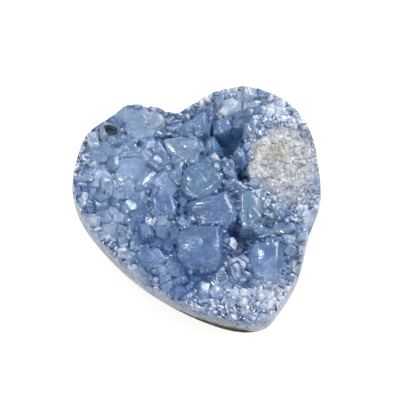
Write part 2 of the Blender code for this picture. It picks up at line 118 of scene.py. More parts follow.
# The crystals that stand out, in millimetres: kind, tone, top height, lean towards and lean in
# degrees, wide facets as (direction, slope, how far in from the outline), and the outline of the top
OUTLINED = (
    (GREEN, 0.50, 36.3, 100, 5, ((40, 32, 1.6), (-60, 40, 1.2)),
     ((-4.7, 4.4), (-4.4, 1.1), (-1.4, -1.8), (2.8, -1.5), (6.6, -0.4), (8.4, 2.1), (7.6, 6.8),
      (4.7, 10.1), (-0.5, 10.4), (-4.1, 6.7))),
    (LILAC, 0.28, 35.8, 200, 8, ((0, 36, 4.0),),
     ((-5.0, -5.3), (-4.1, -9.3), (-0.3, -11.3), (3.6, -13.3), (6.7, -12.6), (9.2, -9.8),
      (10.8, -4.8), (10.1, -2.0), (-4.4, -1.4))),
    (GREEN, 0.60, 35.2, 160, 6, ((-35, 30, 3.6), (-80, 42, 1.2)),
     ((8.7, -14.9), (12.1, -16.8), (15.4, -15.5), (18.4, -11.7), (18.1, -8.5), (16.6, -4.8),
      (14.4, -3.0), (11.6, -3.6), (9.1, -10.1))),
    (CLEAR, 0.50, 36.4, 110, 7, ((-10, 48, 3.0), (-90, 55, 2.0)),
     ((-13.6, -18.2), (-12.0, -21.8), (-7.8, -24.2), (-4.1, -24.7), (-0.2, -21.9), (3.0, -17.0),
      (3.4, -13.8), (-0.3, -11.2), (-6.4, -9.3), (-10.5, -9.6), (-12.8, -13.7))),
    (CLEAR, 0.52, 34.4, 150, 8, ((-20, 34, 3.4), (250, 40, 1.6)),
     ((6.6, -26.0), (6.7, -30.8), (9.4, -34.2), (13.8, -34.6), (16.7, -31.5), (19.1, -26.9),
      (19.3, -23.4), (16.4, -20.5), (12.5, -20.3), (9.3, -20.9), (7.7, -22.2))),
    (GREEN, 0.68, 35.0, 120, 8, ((-70, 30, 2.4), (10, 40, 1.6)),
     ((-4.9, 17.7), (-2.5, 13.0), (0.7, 10.6), (4.0, 13.2), (6.3, 16.2), (5.4, 18.5), (1.1, 21.4),
      (-4.5, 22.1))),
    (LILAC, 0.46, 33.8, 210, 14, ((20, 36, 2.0),),
     ((-9.3, 18.6), (-7.9, 14.3), (-5.4, 11.4), (-3.7, 14.6), (-4.5, 24.0), (-8.7, 22.9))),
    (FROST, 0.72, 31.6, 140, 12, ((-50, 45, 1.6),),
     ((0.2, -22.6), (1.4, -25.5), (5.8, -28.9), (7.2, -27.0), (4.9, -22.2), (0.8, -21.6))),
    # The two crystals down in the pits take the deep kind: painted shade
    (SHADED_DEEP, 0.20, 27.6, 60, 10, (),
     ((2.5, -17.4), (2.6, -20.2), (7.6, -22.4), (10.9, -16.7), (9.7, -13.0), (4.7, -12.4))),
    (SHADED_DEEP, 0.62, 29.6, 190, 12, ((-20, 40, 2.4),),
     ((6.8, 16.0), (7.1, 13.4), (12.4, 13.4), (12.9, 16.4), (12.0, 20.4), (8.3, 20.1))),
    (LILAC, 0.74, 33.0, 240, 8, ((60, 30, 2.6), (-60, 28, 2.2)),
     ((-17.2, 34.9), (-12.7, 27.4), (-9.5, 24.9), (-5.5, 26.1), (-1.8, 29.9), (-2.9, 33.6),
      (-8.8, 37.1), (-15.0, 38.1))),
    (CLEAR, 0.60, 33.0, 100, 10, ((-70, 30, 1.6),),
     ((12.4, -19.1), (20.2, -21.3), (24.9, -21.2), (25.3, -18.8), (22.1, -16.5), (15.7, -16.6))),
    (LILAC, 0.62, 33.2, 170, 8, ((-30, 34, 1.8),),
     ((18.6, -12.1), (19.8, -15.1), (24.0, -14.7), (25.6, -12.2), (23.2, -9.1), (19.6, -9.4))),
    (CLEAR, 0.55, 33.6, 120, 6, ((0, 34, 1.6),),
     ((-15.1, 1.8), (-13.6, -1.9), (-9.8, -2.6), (-8.1, 0.5), (-8.5, 4.4), (-14.0, 5.2))),
    (FROST, 0.50, 32.6, 270, 14, (),
     ((-17.6, -6.8), (-13.9, -7.5), (-11.7, -4.6), (-17.6, -1.8))),
    (CLEAR, 0.66, 33.2, 110, 6, ((-60, 24, 2.6), (170, 24, 2.2)),
     ((-23.2, 13.7), (-20.4, 10.2), (-13.4, 10.2), (-10.2, 12.8), (-10.5, 16.8), (-15.8, 20.0),
      (-20.9, 20.6))),
    (CLEAR, 0.62, 32.4, 200, 8, ((-40, 26, 2.0),),
     ((-26.2, 10.1), (-23.4, 6.6), (-18.9, 6.2), (-16.3, 10.3), (-24.7, 14.6))),
    (CLEAR, 0.46, 32.6, 250, 8, ((30, 30, 2.4), (-80, 26, 1.8)),
     ((-30.0, 26.7), (-27.6, 23.3), (-22.9, 21.6), (-19.0, 22.7), (-18.9, 26.6), (-24.3, 29.8),
      (-28.8, 30.2))),
    (LILAC, 0.66, 32.2, 220, 8, ((-40, 26, 1.8),),
     ((-31.3, 15.8), (-27.3, 13.8), (-23.6, 16.2), (-25.2, 20.0), (-29.2, 20.2))),
    (LILAC, 0.86, 32.6, 90, 8, ((-80, 30, 1.8),),
     ((15.7, 27.1), (17.7, 24.4), (23.1, 24.4), (24.9, 27.7), (22.4, 30.7), (16.2, 30.2))),
    (LILAC, 0.80, 32.6, 60, 8, ((-120, 32, 1.6),),
     ((23.8, 24.8), (26.0, 22.7), (30.6, 23.7), (30.7, 27.0), (26.1, 29.3))),
    (CLEAR, 0.58, 32.0, 120, 10, ((-70, 30, 2.0),),
     ((3.0, 26.7), (5.3, 23.3), (10.4, 20.8), (13.1, 25.0), (11.8, 29.5), (5.1, 29.3))),
    (GREEN, 0.70, 33.2, 180, 8, ((0, 36, 1.4),),
     ((20.9, 15.7), (23.4, 12.8), (26.4, 14.3), (27.8, 19.7), (22.7, 20.3))),
    (CLEAR, 0.46, 31.4, 130, 10, ((-80, 30, 1.8),),
     ((-8.8, -28.3), (-4.8, -31.5), (-0.2, -29.7), (-0.6, -24.7), (-7.7, -23.9))),
    (CLEAR, 0.52, 31.6, 220, 10, ((0, 30, 2.0),),
     ((-26.2, -14.8), (-21.0, -17.9), (-15.6, -15.7), (-18.5, -10.9), (-25.8, -8.9))),
    (LILAC, 0.64, 31.4, 220, 12, ((10, 30, 1.6),),
     ((-33.5, -1.1), (-29.3, -3.9), (-25.4, -1.0), (-26.3, 3.1), (-32.7, 2.9))),
    (CLEAR, 0.58, 33.2, 200, 8, ((-60, 28, 1.6),),
     ((-19.3, 21.9), (-15.3, 19.8), (-10.8, 17.5), (-10.2, 21.2), (-13.4, 23.6), (-17.9, 25.9))),
    (LILAC, 0.58, 33.4, 230, 8, ((-30, 30, 1.6),),
     ((-12.4, 9.7), (-12.0, 5.8), (-8.1, 3.7), (-5.1, 5.8), (-5.4, 9.7), (-9.2, 12.3))),
    (CLEAR, 0.46, 32.4, 250, 10, ((20, 30, 1.6),),
     ((-23.5, 2.9), (-21.4, -1.0), (-16.4, -1.6), (-15.0, 2.3), (-17.3, 5.6), (-21.8, 6.0))),
    (CLEAR, 0.50, 32.2, 250, 10, ((0, 36, 1.4),),
     ((-25.4, -4.4), (-25.0, -8.2), (-19.6, -10.8), (-14.3, -12.1), (-15.2, -8.1), (-19.9, -5.1))),
    (LILAC, 0.60, 31.6, 240, 10, ((20, 26, 1.4),),
     ((-31.3, 5.4), (-28.6, 3.2), (-24.6, 3.0), (-25.7, 6.5), (-29.8, 8.0))),
    (LILAC, 0.60, 32.6, 120, 10, ((-60, 36, 1.6),),
     ((-3.2, 26.1), (-0.6, 23.2), (3.8, 22.2), (2.7, 25.9), (0.4, 29.4))),
    (CLEAR, 0.44, 32.0, 100, 12, ((-40, 36, 1.6),),
     ((11.0, 29.1), (13.1, 25.0), (15.6, 26.8), (16.8, 31.7), (12.6, 31.9))),
    (CLEAR, 0.46, 31.4, 160, 12, ((-30, 36, 1.6),),
     ((12.0, 20.5), (15.0, 18.7), (18.5, 20.1), (18.2, 24.1), (13.5, 24.5))),
    (LILAC, 0.50, 33.0, 200, 10, ((-40, 36, 1.4),),
     ((9.8, 5.0), (10.6, 2.2), (13.6, 2.4), (13.8, 6.1), (10.4, 8.0))),
    (LILAC, 0.34, 33.0, 140, 12, ((-40, 30, 1.4),),
     ((14.5, 9.7), (16.4, 5.2), (19.6, 5.9), (20.3, 10.8), (17.6, 13.1))),
    (FROST, 0.50, 32.4, 130, 12, ((-40, 30, 1.4),),
     ((30.8, 21.0), (34.5, 19.7), (36.5, 21.6), (34.5, 24.3), (31.1, 24.9))),
    (FROST, 0.60, 32.4, 30, 12, ((-40, 30, 1.4),),
     ((17.0, -32.7), (19.3, -34.1), (22.3, -31.0), (22.0, -27.2), (18.6, -27.2))),
    (CLEAR, 0.42, 31.2, 300, 12, ((-40, 40, 1.4),),
     ((-13.6, -22.9), (-12.4, -25.7), (-8.7, -26.5), (-7.0, -23.5), (-11.9, -21.1))),
    (CLEAR, 0.42, 31.0, 300, 12, ((-40, 40, 1.4),),
     ((-1.2, -30.9), (1.2, -33.6), (5.6, -34.0), (5.1, -30.8), (0.8, -28.7))),
    (FROST, 0.58, 31.2, 330, 12, ((-40, 24, 1.4),),
     ((5.7, -38.3), (8.8, -40.6), (12.5, -38.4), (11.5, -35.0), (7.3, -34.1))),
    (LILAC, 0.62, 31.2, 240, 10, ((-40, 24, 1.4),),
     ((-22.9, -24.9), (-19.9, -27.8), (-15.8, -25.7), (-17.3, -22.1), (-22.1, -21.0))),
    (LILAC, 0.60, 31.4, 60, 10, ((-40, 24, 1.4),),
     ((27.5, -13.4), (29.2, -16.5), (33.4, -14.9), (33.4, -10.5), (29.1, -9.5))),
    # Painted highlight: this crystal in the navy pit is coloured near white as a glint, and it also leans to
    # mirror the window lamp
    (GLINT, 1.00, 31.0, 2, 17, (),
     ((2.8, -17.6), (4.6, -18.9), (6.0, -17.2), (5.8, -15.7), (4.0, -15.0))),
)
MM = 0.001
LARGE_SEED = 9
CHIPS_EACH = 3
TERRACE_CHIPS = 2

# The side of the block that each large crystal is cut from
BLOCK = 0.05

# How far a wide crystal reaches from its middle, and how wide the rounded edges with their painted highlight
# are: in metres on the large crystals and their upper growth steps, and as a share of its size on a small
# crystal
WIDE = 0.0065
WIDE_WEAR = 0.00024
NARROW_WEAR = 0.00016
TERRACE_WEAR = 0.00009
SMALL_WEAR = 0.014
EDGE_CRYSTAL_WEAR = 0.016

# How high the small crystals and the massive celestite fill the gaps, and where the crystals are paler
FILL_SHARE = 0.75
GAPS_DEPTH = 0.0003
UPPER_PALE_FROM = 0.020
UPPER_PALE_HALF_WIDTH = 0.016

# The large crystals of the left lobe grow into each other
LEFT_FIELD = Vector((-0.008, -0.006))
LEFT_FIELD_GROWTH = 1.18

# A small crystal is a pattern one unit across and this high, scaled. They stand on a grid over the face
# and in rows along the large ones
PATTERN_HEIGHT = 1.6
FACE_WIDTH = 0.1
EDGE_SPACING = 0.0014

# The fill of smaller crystals: spacing, shortest and longest side, seed
MIDDLING = (0.0041, 0.0040, 0.0066, 21)
SMALL = (0.0024, 0.0020, 0.0036, 22)
FINE = (0.00115, 0.0010, 0.0022, 24)
DRUSE_GRAINS = (0.00105, 0.0009, 0.0022, 23)
DRUSE_LUMPS = (0.0029, 0.0020, 0.0036, 28)

DRUSE_MIDDLE = Vector((0.0298, 0.0010))
DRUSE_HALF = (0.0118, 0.0150)
DRUSE_TURN = radians(-8)
DRUSE_FLOOR = 0.0235
DRUSE_TOP = 0.0348
DRUSE_SEGMENTS = 72

CHIP = Vector((0.0333, -0.0231, 0.0325))
CHIP_RADIUS = 0.0062

# The dark recess, whose floor is host rock
HOLE = Vector((-0.0193, 0.0310))
HOLE_RADIUS = 0.0018
HOLE_STRETCH = 1.1
HOLE_TURN = radians(122)
HOLE_SEGMENTS = 28
HOLE_FLOOR = 0.0307
HOLE_STARTS = 0.0297
FINGER_STARTS = 0.015
# The painted shade at the recess: its colour, and how far round the floor it darkens the rock
HOLE_SHADE_COLOUR = (0.13, 0.15, 0.14)
HOLE_SHADE_REACH = 0.0045

# A dark band along the lower edge of the wall, between the celestite and the rock. It climbs left of the tip,
# and the tip itself is bare
DARK_BAND_Z = 0.0221
DARK_BAND_RAGGED = 0.0011
DARK_BAND_BELOW = 0.0014
DARK_BAND_SINKS = 0.0022
DARK_BAND_PEAK = Vector((-0.0045, -0.0415, 0.026))
DARK_BAND_REACH = 0.027
DARK_BAND_CLIMB = 0.0060
BARE_TIP = Vector((0.0075, -0.0455, 0.028))
BARE_REACH = 0.011
BARE_DROP = 0.0060

# How far the celestite and the druse reach into what is under them, so that no air shows between
ROOTED = 0.0010
PROUD = 0.00006

# The camera and the light
CAMERA_AZIMUTH = radians(-20)
CAMERA_ELEVATION = radians(68)
CAMERA_DISTANCE = 0.426
CAMERA_TARGET = Vector((0.0, 0.0, 0.030))
LENS = 120
SENSOR = 36
LIT_PLACE = (0, 0, 0.02)
SKY_STRENGTH = 0.8

# The small lamps that the faces mirror: azimuth and elevation in degrees
GLINT_LAMPS = ((200, 58), (120, 50), (-25, 62), (-95, 52), (60, 66))


def smooth_loop(points, count):
    """Points spread evenly by number along a closed smooth curve through the given points."""
    loop = []
    for step in range(count):
        place = step / count * len(points)
        first = int(place)
        t = place - first
        p0, p1, p2, p3 = (Vector(points[(first + k) % len(points)]) for k in (-1, 0, 1, 2))
        bend = (p2 - p0) * t + (2 * p0 - 5 * p1 + 4 * p2 - p3) * t**2 + (3 * p1 - p0 - 3 * p2 + p3) * t**3
        loop.append(p1 + bend / 2)
    return loop


OUTLINE = smooth_loop(HEART, OUTLINE_SEGMENTS)
COARSE_OUTLINE = smooth_loop(HEART, COARSE_SEGMENTS)
MEAN_RADIUS = sum((p - MIDDLE).length for p in COARSE_OUTLINE) / len(COARSE_OUTLINE)
CENTRE = Vector(((max(p[k] for p in COARSE_OUTLINE) + min(p[k] for p in COARSE_OUTLINE)) / 2 for k in (0, 1)))
CENTRE = CENTRE.to_3d()
OUTLINE_DIRECTIONS = [(p - MIDDLE).normalized() for p in COARSE_OUTLINE]
OUTLINE_REACH = [(p - MIDDLE).length for p in COARSE_OUTLINE]


def inside_share(place):
    """How far out a place lies, 0 at the middle and 1 on the widest outline."""
    arm = place - MIDDLE
    if arm.length == 0:
        return 0.0
    way = arm.normalized()
    nearest = max(range(len(OUTLINE_DIRECTIONS)), key=lambda k: OUTLINE_DIRECTIONS[k].dot(way))
    return arm.length / OUTLINE_REACH[nearest]


def spread(z):
    """How far the polished skin reaches at a height, as a share of the widest outline."""
    if z < GIRDLE_Z:
        drop = (GIRDLE_Z - z) / (GIRDLE_Z + SINK)
        return (1 - drop**BACK_POWER) ** (1 / BACK_POWER)
    rise = (z - GIRDLE_Z) / (SHOULDER_TOP - GIRDLE_Z)
    return 1 - SHOULDER_INSET * rise**2


def skin_point(number, z):
    """A point of the polished skin. Low on the back the heart softens to a rounder outline."""
    arm = OUTLINE[number % OUTLINE_SEGMENTS] - MIDDLE
    softness = SOFTENED * max(0.0, (GIRDLE_Z - z) / GIRDLE_Z) ** 2
    length = arm.length * (1 - softness) + MEAN_RADIUS * softness
    place = MIDDLE + arm.normalized() * length * spread(z)
    return Vector((place.x, place.y, z))


def rock_height(x, y):
    """The host rock's upper side, a shallow uneven bowl that climbs towards the tip."""
    swell = 0.0008 * sin(95 * x + 0.6) * cos(80 * y - 0.4) + 0.0005 * sin(210 * x + 170 * y)
    out = hypot(x - MIDDLE.x, y - MIDDLE.y) / MEAN_RADIUS
    near_tip = exp(-((x + 0.004) ** 2 + (y + 0.044) ** 2) / 0.014**2)
    return ROCK_Z + BOWL_RISE * out**2 + TIP_RISE * near_tip + swell


def bed_height(x, y):
    """The top of the celestite bed between the crystals, with its deep hollows and its solid rim."""
    height = FACE_Z - BED_BELOW_FACE + 0.0006 * sin(260 * x) * sin(240 * y + 1)
    for hollow_x, hollow_y, radius, depth in HOLLOWS:
        away = hypot(x - hollow_x, y - hollow_y) / radius
        height -= depth * exp(-(away**2))
    rim = max(0.0, (inside_share(Vector((x, y))) - RIM_STARTS) / (1 - RIM_STARTS))
    return height + RIM_RISE * min(rim, 1.0) ** 0.7


def as_object(name, bm, kind=0, tone=None):
    """An object of a mesh, with every face in one slot. Without a tone the faces keep their own."""
    layer = bm.faces.layers.float.get("tone") or bm.faces.layers.float.new("tone")
    for face in bm.faces:
        face.material_index = kind
        if tone is not None:
            face[layer] = tone
    mesh = bpy.data.meshes.new(name)
    bm.to_mesh(mesh)
    bm.free()
    return bpy.data.objects.new(name, mesh)


def lofted(name, rings, bottom, top, kind=0):
    """A closed solid through rings of points, with a fan at its bottom and its top point."""
    bm = bmesh.new()
    rows = [[bm.verts.new(p) for p in ring] for ring in rings]
    low = bm.verts.new(bottom)
    high = bm.verts.new(top)
    count = len(rows[0])
    for number in range(count):
        after = (number + 1) % count
        bm.faces.new((low, rows[0][after], rows[0][number]))
        bm.faces.new((high, rows[-1][number], rows[-1][after]))
        for below, above in zip(rows, rows[1:]):
            bm.faces.new((below[number], below[after], above[after], above[number]))
    bmesh.ops.recalc_face_normals(bm, faces=bm.faces)
    return as_object(name, bm, kind, 0.55)


def level_ring(z, proud=0.0):
    """The polished skin's outline at a height."""
    ring = [skin_point(number, z) for number in range(OUTLINE_SEGMENTS)]
    if proud:
        middle = Vector((*MIDDLE, z))
        ring = [p + (p - middle).normalized() * proud for p in ring]
    return ring


def surface_rings(edge_ring, height, shares):
    """Rings over a height field, inwards from an edge ring by shares of its distance to the middle."""
    rings = []
    for share in shares:
        ring = []
        for p in edge_ring:
            place = MIDDLE + (Vector((p.x, p.y)) - MIDDLE) * share
            ring.append(Vector((place.x, place.y, height(place.x, place.y))))
        rings.append(ring)
    return rings


def steps(low, high, count):
    return [low + (high - low) * k / (count - 1) for k in range(count)]


def skin_solid(name, lowest, kind, proud=0.0, highest=CREST_Z):
    """A closed solid with the polished skin as its side, or a little proud of it."""
    levels = steps(lowest, highest, SKIN_LEVELS)
    rings = [level_ring(z, proud) for z in levels]
    return lofted(name, rings, Vector((*MIDDLE, levels[0])), Vector((*MIDDLE, levels[-1])), kind)


def smooth_share(place, spot, radius):
    """1 at a spot, falling smoothly to 0 at a radius."""
    t = max(0.0, 1 - (place - spot).length / radius)
    return t * t * (3 - 2 * t)


def dark_band_height(place):
    """How high the dark band reaches on the wall."""
    climb = DARK_BAND_CLIMB * smooth_share(place, DARK_BAND_PEAK, DARK_BAND_REACH)
    return DARK_BAND_Z + climb - BARE_DROP * smooth_share(place, BARE_TIP, BARE_REACH)


def wall_skin():
    """The polished side of the celestite, with the dark band's slot along its lower edge."""
    skin = skin_solid("skin", SKIN_FROM, WALL)
    for face in skin.data.polygons:
        if face.center.z < dark_band_height(face.center):
            face.material_index = DARK_BAND
    return skin


def rock_skin():
    """The polished back, with the dark band's slot on its upper edge."""
    skin = skin_solid("rock", 0.0, BACK, PROUD, ROCK_SKIN_TOP)
    for face in skin.data.polygons:
        if face.center.z > DARK_BAND_Z - DARK_BAND_BELOW - DARK_BAND_SINKS:
            face.material_index = UPPER_ROCK
    return skin


def layer_solid(name, underside, topside, kind=0):
    """A solid between two height fields that reaches a little past the skin."""
    shares = steps(0.06, OVERREACH, LAYER_RINGS)
    edge = level_ring(GIRDLE_Z)
    under = surface_rings(edge, underside, shares)
    face = surface_rings(edge, topside, reversed(shares))
    bottom = Vector((*MIDDLE, underside(*MIDDLE)))
    top = Vector((*MIDDLE, topside(*MIDDLE)))
    return lofted(name, under + face, bottom, top, kind)


# The prism, front dome and side dome of celestite: the angle, and the two axes that each is between
SLANTED_FACES = ((radians(38), 0, 1), (radians(50.6), 0, 2), (radians(38), 1, 2))


def crystal_faces(half, rng):
    """The faces of a celestite crystal: three pairs of flat faces, and the prism and dome faces that
    cut its edges, each a little further in or out than its twin, as in a real crystal."""
    faces = []
    for axis in range(3):
        for side in (1, -1):
            normal = Vector((0, 0, 0))
            normal[axis] = side
            faces.append((normal * half[axis], normal))
    for side, other in ((1, 1), (1, -1), (-1, 1), (-1, -1)):
        for angle, first, second in SLANTED_FACES:
            normal = Vector((0, 0, 0))
            normal[first] = side * cos(angle)
            normal[second] = other * sin(angle)
            corner = sum(abs(normal[k]) * half[k] for k in range(3))
            faces.append((normal * corner * rng.uniform(0.76, 0.93), normal))
    return faces


def cut_block(middle, size, planes):
    """A block with everything outside the given planes cut away."""
    bm = bmesh.new()
    bmesh.ops.create_cube(bm, size=size)
    bmesh.ops.translate(bm, verts=bm.verts, vec=middle)
    for point, normal in planes:
        everything = bm.verts[:] + bm.edges[:] + bm.faces[:]
        cut = bmesh.ops.bisect_plane(bm, geom=everything, plane_co=point, plane_no=normal, clear_outer=True)
        edges = [piece for piece in cut["geom_cut"] if isinstance(piece, bmesh.types.BMEdge)]
        if len(edges) > 2:
            bmesh.ops.contextual_create(bm, geom=edges)
    bmesh.ops.recalc_face_normals(bm, faces=bm.faces)
    return bm


def broken_corners(half, rng, count):
    """Planes of broken corners and steps, set at odd angles on the upper half of a crystal."""
    planes = []
    for _ in range(count):
        way = Vector((rng.uniform(-1, 1), rng.uniform(-1, 1), rng.uniform(0.05, 0.9))).normalized()
        corner = sum(abs(way[k]) * half[k] for k in range(3))
        planes.append((way * corner * rng.uniform(0.62, 0.84), way))
    return planes


class Crown:
    """The leaning top of a crystal that fills an outline."""

    def __init__(self, points, top, lean_to, lean):
        self.points = points
        self.middle = sum(points, Vector((0, 0))) / len(points)
        turn, tip = radians(lean_to), radians(lean)
        self.up = Vector((sin(tip) * cos(turn), sin(tip) * sin(turn), cos(tip)))
        self.top = top

    def on_top(self, place):
        away = place - self.middle
        return Vector((*place, self.top - (away.x * self.up.x + away.y * self.up.y) / self.up.z))

    def sides(self):
        """The start and end of each side of the outline, with its way out."""
        for start, end in zip(self.points, self.points[1:] + self.points[:1]):
            along = (end - start).normalized()
            yield start, end, Vector((along.y, -along.x))

    def holds(self, place, share):
        return all((place - self.middle).dot(out) < (start - self.middle).dot(out) * share
                   for start, _, out in self.sides())

    def planes(self, facets, rng, chips):
        """The top, a steep side and a narrow bevel along each side, the wide facets and the chips."""
        planes = [(self.on_top(self.middle), self.up), (Vector((0, 0, ROOTS_Z)), Vector((0, 0, -1)))]
        bevels = []
        for start, end, out in self.sides():
            slope, inset = rng.uniform(28, 62), rng.uniform(0.0003, 0.0012)
            bevels.append(self.facet(atan2(out.y, out.x), slope, inset, (start + end) / 2))
        for start, end, out in self.sides():
            flare = radians(rng.uniform(2, 15))
            edge = self.on_top((start + end) / 2) - Vector((0, 0, 0.0010))
            planes.append((edge, Vector((*(out * cos(flare)), sin(flare)))))
        planes += bevels
        for direction, slope, inset in facets:
            planes.append(self.facet(radians(direction), slope, inset * MM))
        for _ in range(chips):
            way = rng.uniform(0, tau)
            planes.append(self.facet(way, rng.uniform(18, 60), rng.uniform(0.0008, 0.0024)))
        return planes

    def facet(self, way, slope, inset, start=None):
        """A slanted plane that cuts the top at an inset from a start, or from the farthest corner."""
        out = Vector((cos(way), sin(way)))
        if start is None:
            start = max(self.points, key=lambda p: (p - self.middle).dot(out))
        tilt = radians(slope)
        return self.on_top(start - out * inset), Vector((*(out * sin(tilt)), cos(tilt)))

    def terrace(self, rng):
        """A smaller crown of the same crystal, one growth step higher."""
        corner = rng.choice(self.points)
        share = rng.uniform(0.45, 0.8)
        points = [self.middle.lerp(corner.lerp(p, share), 0.93) for p in self.points]
        step = Crown(points, 0, 0, 0)
        step.up = (self.up + Vector((rng.uniform(-0.03, 0.03), rng.uniform(-0.03, 0.03), 0))).normalized()
        step.top = self.on_top(step.middle).z + rng.uniform(0.00012, 0.00045)
        return step


def crown_of(row):
    _, _, top, lean_to, lean, _, outline = row
    return Crown([Vector(p) * MM for p in outline], top * MM, lean_to, lean)


CROWNS = [crown_of(row) for row in OUTLINED]
for crown in CROWNS:
    if crown.middle.x < LEFT_FIELD.x and crown.middle.y > LEFT_FIELD.y:
        crown.points = [crown.middle.lerp(p, LEFT_FIELD_GROWTH) for p in crown.points]


def round_and_highlight_edges(bm, width, painted_highlight):
    """Rounds every edge a little, and paints the rounded edges paler than the faces: a painted highlight."""
    layer = bm.faces.layers.float["tone"]
    bmesh.ops.remove_doubles(bm, verts=bm.verts, dist=width * 0.6)
    bmesh.ops.dissolve_degenerate(bm, dist=width * 0.3, edges=bm.edges)
    rounded = bmesh.ops.bevel(bm, geom=bm.edges[:], offset=width, segments=1, affect="EDGES", clamp_overlap=True)
    # Painted highlight: the rounded edges take a paler tone, as edges that catch the light
    for face in rounded["faces"]:
        face[layer] += painted_highlight


def tinted(bm, tone, uneven, rng):
    """Gives each face its own tone round the crystal's, as faces mirror different depths."""
    layer = bm.faces.layers.float.new("tone")
    for face in bm.faces:
        face[layer] = tone + rng.uniform(-uneven, uneven)


def set_down(bm, top_middle, depth, pose):
    """Leans and turns a crystal and puts the middle of its top face where it belongs."""
    lean_to, lean, spin = pose
    turn = Matrix.Rotation(radians(lean_to), 3, "Z")
    tip = Matrix.Rotation(radians(lean), 3, "Y")
    own = Matrix.Rotation(radians(spin - lean_to), 3, "Z")
    middle = Vector(top_middle) - (turn @ tip @ Vector((0, 0, 1))) * depth / 2
    bm.transform(Matrix.Translation(middle) @ (turn @ tip @ own).to_4x4())


def pattern_crystals(count, seed, breaks, rounded):
    """Crystal shapes one unit across, which the many small crystals repeat at their own size."""
    rng = random.Random(seed)
    patterns = []
    for _ in range(count):
        half = (0.5, 0.5 * rng.uniform(0.5, 1.0), PATTERN_HEIGHT / 2)
        planes = crystal_faces(half, rng) + broken_corners(half, rng, breaks)
        bm = cut_block((0, 0, 0), 4 * max(half), planes)
        tinted(bm, 0.0, 0.16, rng)
        if rounded:
            round_and_highlight_edges(bm, rounded, 0.2)
        mesh = bpy.data.meshes.new("pattern")
        bm.to_mesh(mesh)
        bm.free()
        patterns.append(mesh)
    return patterns


def small_crystal(name, pattern, top_middle, size, pose, kind, tone):
    bm = bmesh.new()
    bm.from_mesh(pattern)
    layer = bm.faces.layers.float["tone"]
    for face in bm.faces:
        face[layer] += tone
    bm.transform(Matrix.Diagonal((*size, 1)))
    set_down(bm, top_middle, size[2] * PATTERN_HEIGHT, pose)
    return as_object(name, bm, kind)


def scattered(spacing, rng):
    """Places of a jittered grid over the whole face."""
    count = int(FACE_WIDTH / spacing)
    for row in range(-count // 2, count // 2 + 1):
        for column in range(-count // 2, count // 2 + 1):
            shift = Vector((rng.uniform(-0.35, 0.35), rng.uniform(-0.35, 0.35)))
            yield MIDDLE + (Vector((column + 0.5 * (row % 2), row * 0.87)) + shift) * spacing


def druse_share(place):
    """How far out in the druse's oval a place lies, 1 on its edge."""
    arm = place - DRUSE_MIDDLE
    arm.rotate(Matrix.Rotation(-DRUSE_TURN, 2))
    return hypot(arm.x / DRUSE_HALF[0], arm.y / DRUSE_HALF[1])


def fineness(place):
    """1 at the tip, by the rim and round the white druse, where the crystals are a fine druse."""
    tip = (-0.025 - place.y + 0.12 * place.x) / 0.009
    rim = (inside_share(place) - 0.87) / 0.1
    beside_druse = (1.45 - druse_share(place)) / 0.3
    return max(0.0, min(1.0, max(tip, rim, beside_druse)))


def near_large(place, share):
    """Whether a large crystal holds a place in its outline, shrunk to a share."""
    return any(crown.holds(place, share) for crown in CROWNS)


def hollow_share(place):
    """1 in the middle of a hollow, 0 outside."""
    deepest = 0.0
    for x, y, radius, depth in HOLLOWS:
        away = hypot(place.x - x, place.y - y) / radius
        deepest = max(deepest, exp(-(away**2)) * depth / DEEPEST_HOLLOW)
    return deepest


def fill_look(place, rng):
    """The kind and the tone of a small crystal: frosted and pale at the tip and the rim, blue inside, and
    darker in the hollows as painted shade.
    """
    pick, tone = rng.random(), rng.uniform(0.35, 0.65)
    if place.y > UPPER_PALE_FROM and abs(place.x - MIDDLE.x) < UPPER_PALE_HALF_WIDTH:
        tone += 0.07
    # Painted shade: in a hollow a small crystal takes the darker deep kind and a darker tone
    if hollow_share(place) > 0.3:
        return SHADED_DEEP, tone - 0.15
    if pick < 0.12 + 0.6 * fineness(place):
        return (FROST if pick < 0.5 * fineness(place) else LILAC), tone + 0.08
    return rng.choice((CLEAR, CLEAR, LILAC, GREEN)), tone


def fill_height(place):
    """How high the smaller crystals stand: between the bed and the tops of the crystals around."""
    near = [(1 / (0.002 + (place - crown.middle).length) ** 3, crown.top) for crown in CROWNS]
    tops = sum(weight * top for weight, top in near) / sum(weight for weight, _ in near)
    low = bed_height(*place)
    return low + max(0.0, tops - low) * FILL_SHARE * max(0.0, 1 - 1.6 * hollow_share(place))


def massive_height(x, y):
    """The massive celestite in the gaps between the crystals, a little below the smaller ones' tops."""
    return max(bed_height(x, y), fill_height(Vector((x, y))) - GAPS_DEPTH)


def edge_crystals(name, crown, kind, tone, patterns, rng):
    """Small crystals that grew along the sides of a large one, turned much as it is."""
    grown = []
    for side, (start, end, out) in enumerate(crown.sides()):
        count = max(1, int((end - start).length / EDGE_SPACING))
        for step in range(count):
            place = start.lerp(end, (step + rng.random()) / count) + out * rng.uniform(-0.0004, 0.0009)
            across = rng.uniform(0.0009, 0.0026)
            size = (across, across * rng.uniform(0.6, 1), across)
            top = crown.on_top(place).z - rng.uniform(0.0001, 0.0028)
            way = degrees(atan2(out.y, out.x))
            pose = (way + rng.uniform(-40, 40), rng.uniform(2, 32), way + rng.uniform(-20, 20))
            own_tone = tone + rng.uniform(-0.12, 0.14)
            pattern = rng.choice(patterns)
            if hollow_share(place) > 0.35 or druse_share(place) < 0.85 or inside_share(place) > 1:
                continue
            own_name = f"{name}_{side}_{step}"
            grown.append(small_crystal(own_name, pattern, (*place, top), size, pose, kind, own_tone))
    return grown


